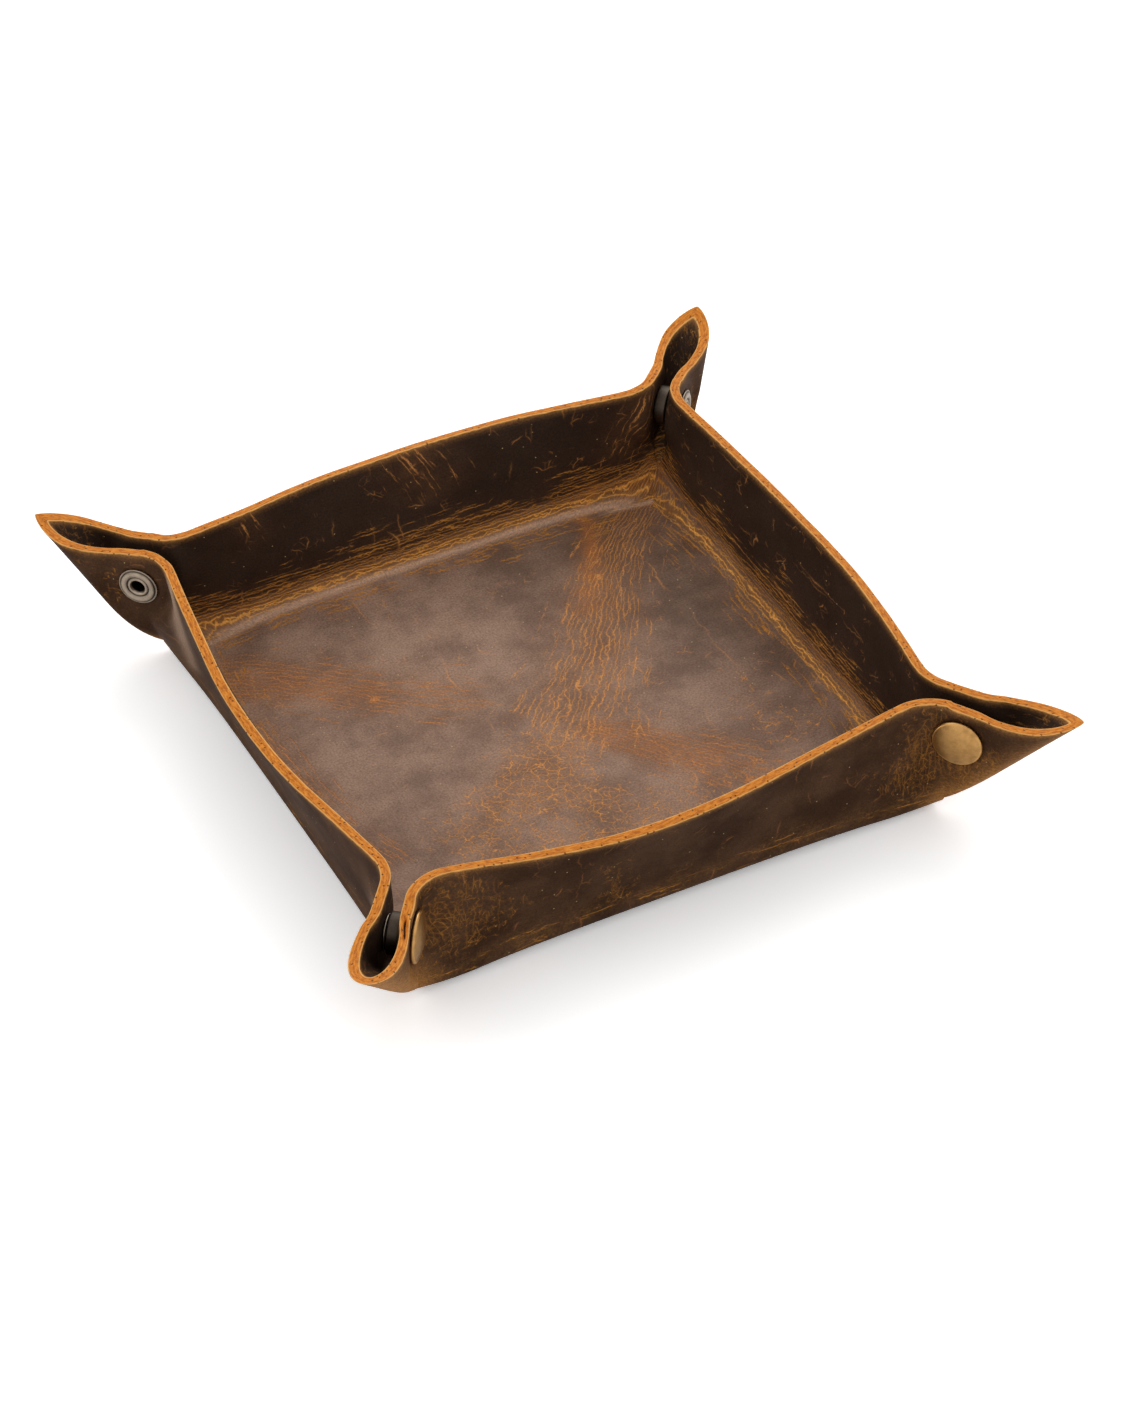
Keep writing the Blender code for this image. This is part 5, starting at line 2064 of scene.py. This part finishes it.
@dataclass(frozen=True)
class CutEdge:
    """The cut edge of the leather: orange fibres between two dark skins."""

    orange: Colour = (0.740, 0.255, 0.028)
    deep: Colour = (0.420, 0.115, 0.012)
    # Pale fibres, and the painted highlight along the edge's two borders.
    pale: Colour = (0.860, 0.480, 0.150)
    # Near black, for the pits and for the painted shade in the split.
    pit: Colour = (0.060, 0.020, 0.006)
    skin: Colour = (0.120, 0.046, 0.014)
    thickness: float = SheetSizes.thickness * MILLIMETRES
    fibre_length: float = 4.5
    fibre_size: float = 0.45
    relief: float = 0.00018
    specular: float = 0.12

    def make(self, mottle: Group) -> Material:
        """Make the finish, from the way along the edge and the share across it.

        Args:
            mottle: The shared effect of blotches.

        Returns:
            The material.
        """
        material, tree, shader = new_finish("cut_edge", self.specular)
        flat = tree.add("ShaderNodeUVMap", {}, uv_map="flat").outputs[0]
        run, share, _ = tree.separate(flat)
        run = tree.times(run, MILLIMETRES)
        across = tree.times(share, self.thickness)
        place = tree.combine(run, across)
        fibre = tree.noise(tree.combine(tree.math("DIVIDE", run, self.fibre_length), across),
                           self.fibre_size, 4.0, 0.7)
        colour = tree.mix(tree.step(fibre, 0.38, 0.58), self.deep, self.orange)
        colour = tree.mix(tree.times(mottle.use(tree, place, 2.6, 0.22), 0.25), colour, self.deep)
        colour = tree.mix(tree.times(tree.step(fibre, 0.58, 0.72), 0.5), colour, self.pale)
        # Painted highlight: pale lines along both borders of the edge, where its crown rounds into the
        # skins.
        edge = tree.math("ABSOLUTE", tree.math("SUBTRACT", share, 0.5))
        colour = tree.mix(tree.times(tree.step(edge, 0.36, 0.43), 0.75), colour, self.pale)
        worn = tree.step(tree.noise(tree.combine(run, 9.0), 3.0, 2.0), 0.3, 0.7)
        colour = tree.mix(tree.times(tree.step(edge, 0.46, 0.495), worn), colour, self.skin)
        pit = tree.dots(place, 0.55, (0.45, 0.55), (0.06, 0.16))
        colour = tree.mix(tree.times(pit, 0.8), colour, self.pit)
        # Painted shade: the split in the edge darkened to near black, with ragged borders.
        split_shade = tree.math("ADD", tree.attribute("split"),
                         tree.times(tree.math("SUBTRACT", fibre, 0.5), 0.9))
        colour = tree.mix(tree.step(split_shade, 0.40, 0.62), colour, self.pit)
        height = tree.math("SUBTRACT", tree.times(fibre, 0.8), pit)
        tree.join(shader, {"Base Color": colour, "Roughness": tree.scaled(fibre, 0.2, 0.5),
                           "Normal": tree.bump(height, self.relief)})
        return material


@dataclass(frozen=True)
class OldMetal:
    """Plated metal that has dulled: bright where it is worn, dark in its recesses."""

    name: str
    bright: Colour
    dull: Colour
    dark: Colour
    roughness: float
    relief: float = 0.000012

    def make(self, mottle: Group) -> Material:
        """Make the finish from the piece's own place and its worn mask.

        Args:
            mottle: The shared effect of blotches.

        Returns:
            The material.
        """
        material, tree, shader = new_finish(self.name)
        shader.inputs["Metallic"].default_value = 1.0
        place = tree.add("ShaderNodeTexCoord", {}).outputs["Object"]
        place = tree.vector("SCALE", place, MILLIMETRES)
        shine = tree.attribute("shine")
        blotch, speck = mottle.use(tree, place, 2.2, 0.25), mottle.use(tree, place, 0.5, 0.20)
        worn = tree.scaled(tree.math("SUBTRACT", blotch, 0.5), 0.5, shine)
        colour = tree.mix(tree.step(worn, 0.2, 0.95), self.dull, self.bright)
        colour = tree.mix(tree.times(speck, 0.25), colour, self.dull)
        colour = tree.mix(tree.rest(tree.step(shine, 0.0, 0.45)), colour, self.dark)
        rough = tree.scaled(tree.rest(worn), 0.22, self.roughness)
        tree.join(shader, {"Base Color": colour, "Roughness": rough,
                           "Normal": tree.bump(speck, self.relief)})
        return material


class StudFinish(Enum):
    """The plated finishes of the stud's pieces."""

    BRASS = OldMetal("antique_brass", (0.640, 0.350, 0.120), (0.380, 0.200, 0.066),
                     (0.050, 0.028, 0.012), 0.27)
    NICKEL = OldMetal("aged_nickel", (0.430, 0.345, 0.265), (0.235, 0.182, 0.136),
                      (0.036, 0.027, 0.020), 0.28)
    STEEL = OldMetal("spring_steel", (0.560, 0.550, 0.530), (0.360, 0.350, 0.340),
                     (0.080, 0.075, 0.070), 0.26)


def new_finish(name: str, specular: float = 0.5) -> tuple[Material, Tree, Node]:
    """Start a material.

    Args:
        name: Its name.
        specular: Specular level of its shader.

    Returns:
        The material, its tree and its shader.
    """
    material = bpy.data.materials.new(name)
    material.use_nodes = True
    shader = material.node_tree.nodes["Principled BSDF"]
    shader.inputs["Specular IOR Level"].default_value = specular
    return material, Tree(material.node_tree), shader


@dataclass(frozen=True)
class SoftBox:
    """A square soft lamp that faces the tray."""

    name: str
    place: tuple[float, float, float]
    size: float
    power: float

    def hang(self) -> None:
        """Hang the lamp."""
        light = bpy.data.lights.new(self.name, "AREA")
        light.size = self.size
        light.energy = self.power
        lamp = add_to_scene(self.name, light)
        lamp.location = self.place
        lamp.rotation_euler = (-Vector(self.place)).to_track_quat("-Z", "Y").to_euler()


@dataclass(frozen=True)
class Studio:
    """Pale floor, white background, soft light and the photograph's camera."""

    azimuth_deg: float = -27.4951
    elevation_deg: float = 40.9021
    roll_deg: float = -0.2012
    distance: float = 1.102996
    aside: float = 0.003711
    above: float = 0.005909
    lens: float = 116.85
    floor_size: float = 12.0
    floor_drop: float = 0.0001
    floor_white: float = 1.30
    floor_mirrored: float = 0.95
    floor_glow: float = 0.18
    bounce: float = 0.60
    sky: float = 0.78
    lamps: tuple[SoftBox, ...] = (SoftBox("back_softbox", (0.95, 1.05, 1.10), 1.3, 10.5),
                                  SoftBox("side_softbox", (-1.2, 0.5, 0.9), 0.9, 2.5))

    def place_camera(self) -> None:
        """Stand the camera where the photograph was taken from."""
        azimuth, elevation, roll = (math.radians(angle) for angle in (
            self.azimuth_deg, self.elevation_deg, self.roll_deg))
        stand = Matrix.Rotation(azimuth, 4, "Z") @ Matrix.Rotation(math.pi / 2 - elevation, 4, "X")
        place = stand @ Vector((self.aside, self.above, self.distance))
        camera = add_to_scene("camera", bpy.data.cameras.new("camera"))
        camera.data.lens = self.lens
        camera.matrix_world = Matrix.Translation(place) @ stand @ Matrix.Rotation(roll, 4, "Z")
        bpy.context.scene.camera = camera

    def lay_floor(self) -> None:
        """Lay the floor, which is white to the camera outside the tray's shadow."""
        half = self.floor_size / 2
        mesh = bpy.data.meshes.new("studio_floor")
        mesh.from_pydata([(-half, -half, 0), (half, -half, 0), (half, half, 0), (-half, half, 0)],
                         [], [(0, 1, 2, 3)])
        floor = add_to_scene("studio_floor", mesh)
        floor.location.z = -self.floor_drop
        material, tree, shader = new_finish("studio_floor", 0.0)
        shader.inputs["Roughness"].default_value = 1.0
        shader.inputs["Emission Color"].default_value = (1.0, 1.0, 1.0, 1.0)
        rays = tree.add("ShaderNodeLightPath", {}).outputs
        mirrored = tree.mix(rays["Is Glossy Ray"], (self.bounce,) * 3, (self.floor_mirrored,) * 3)
        seen = tree.mix(rays["Is Camera Ray"], mirrored, (self.floor_white,) * 3)
        glow = tree.times(rays["Is Camera Ray"], self.floor_glow)
        tree.join(shader, {"Base Color": seen, "Emission Strength": glow})
        mesh.materials.append(material)

    def light_sky(self) -> None:
        """Light everything softly, before a background that is white when it is seen."""
        world = bpy.data.worlds.new("studio")
        world.use_nodes = True
        tree = Tree(world.node_tree)
        rays = tree.add("ShaderNodeLightPath", {}).outputs
        seen = tree.most(rays["Is Camera Ray"], rays["Is Glossy Ray"], rays["Is Transmission Ray"])
        tree.join(world.node_tree.nodes["Background"], {
            "Color": (1.0, 1.0, 1.0, 1.0), "Strength": tree.scaled(seen, 1.0 - self.sky, self.sky)})
        bpy.context.scene.world = world

    def build(self) -> None:
        """Set up the whole studio."""
        self.place_camera()
        self.lay_floor()
        self.light_sky()
        for lamp in self.lamps:
            lamp.hang()
        bpy.context.scene.view_settings.view_transform = "Standard"


def dress(piece: Piece, finishes: Sequence[Material]) -> None:
    """Give a piece its materials, and report it."""
    for finish in finishes:
        piece.data.materials.append(finish)
    LOG.info("%s has %d faces", piece.name, len(piece.data.polygons))


def main() -> None:
    """Build the tray's pieces, their finishes and the studio, and report each piece."""
    logging.basicConfig(level=logging.INFO, format="%(name)s: %(message)s")
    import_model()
    mottle = mottle_group()
    leather = [OiledLeather().make(crackle_group(), strand_group(), mottle), CutEdge().make(mottle)]
    metal = {finish: finish.value.make(mottle) for finish in StudFinish}
    for piece in LeatherTray().build():
        dress(piece, leather)
    plating = {"cap": StudFinish.BRASS, "socket": StudFinish.NICKEL, "spring": StudFinish.STEEL,
               "stud": StudFinish.NICKEL, "eyelet": StudFinish.NICKEL}
    for number in range(4):
        for part, piece in PressStud().build(Ear(SheetSizes(), number)).items():
            dress(piece, [metal[plating[part]]])
    Studio().build()
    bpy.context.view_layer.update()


if __name__ == "__main__":
    main()
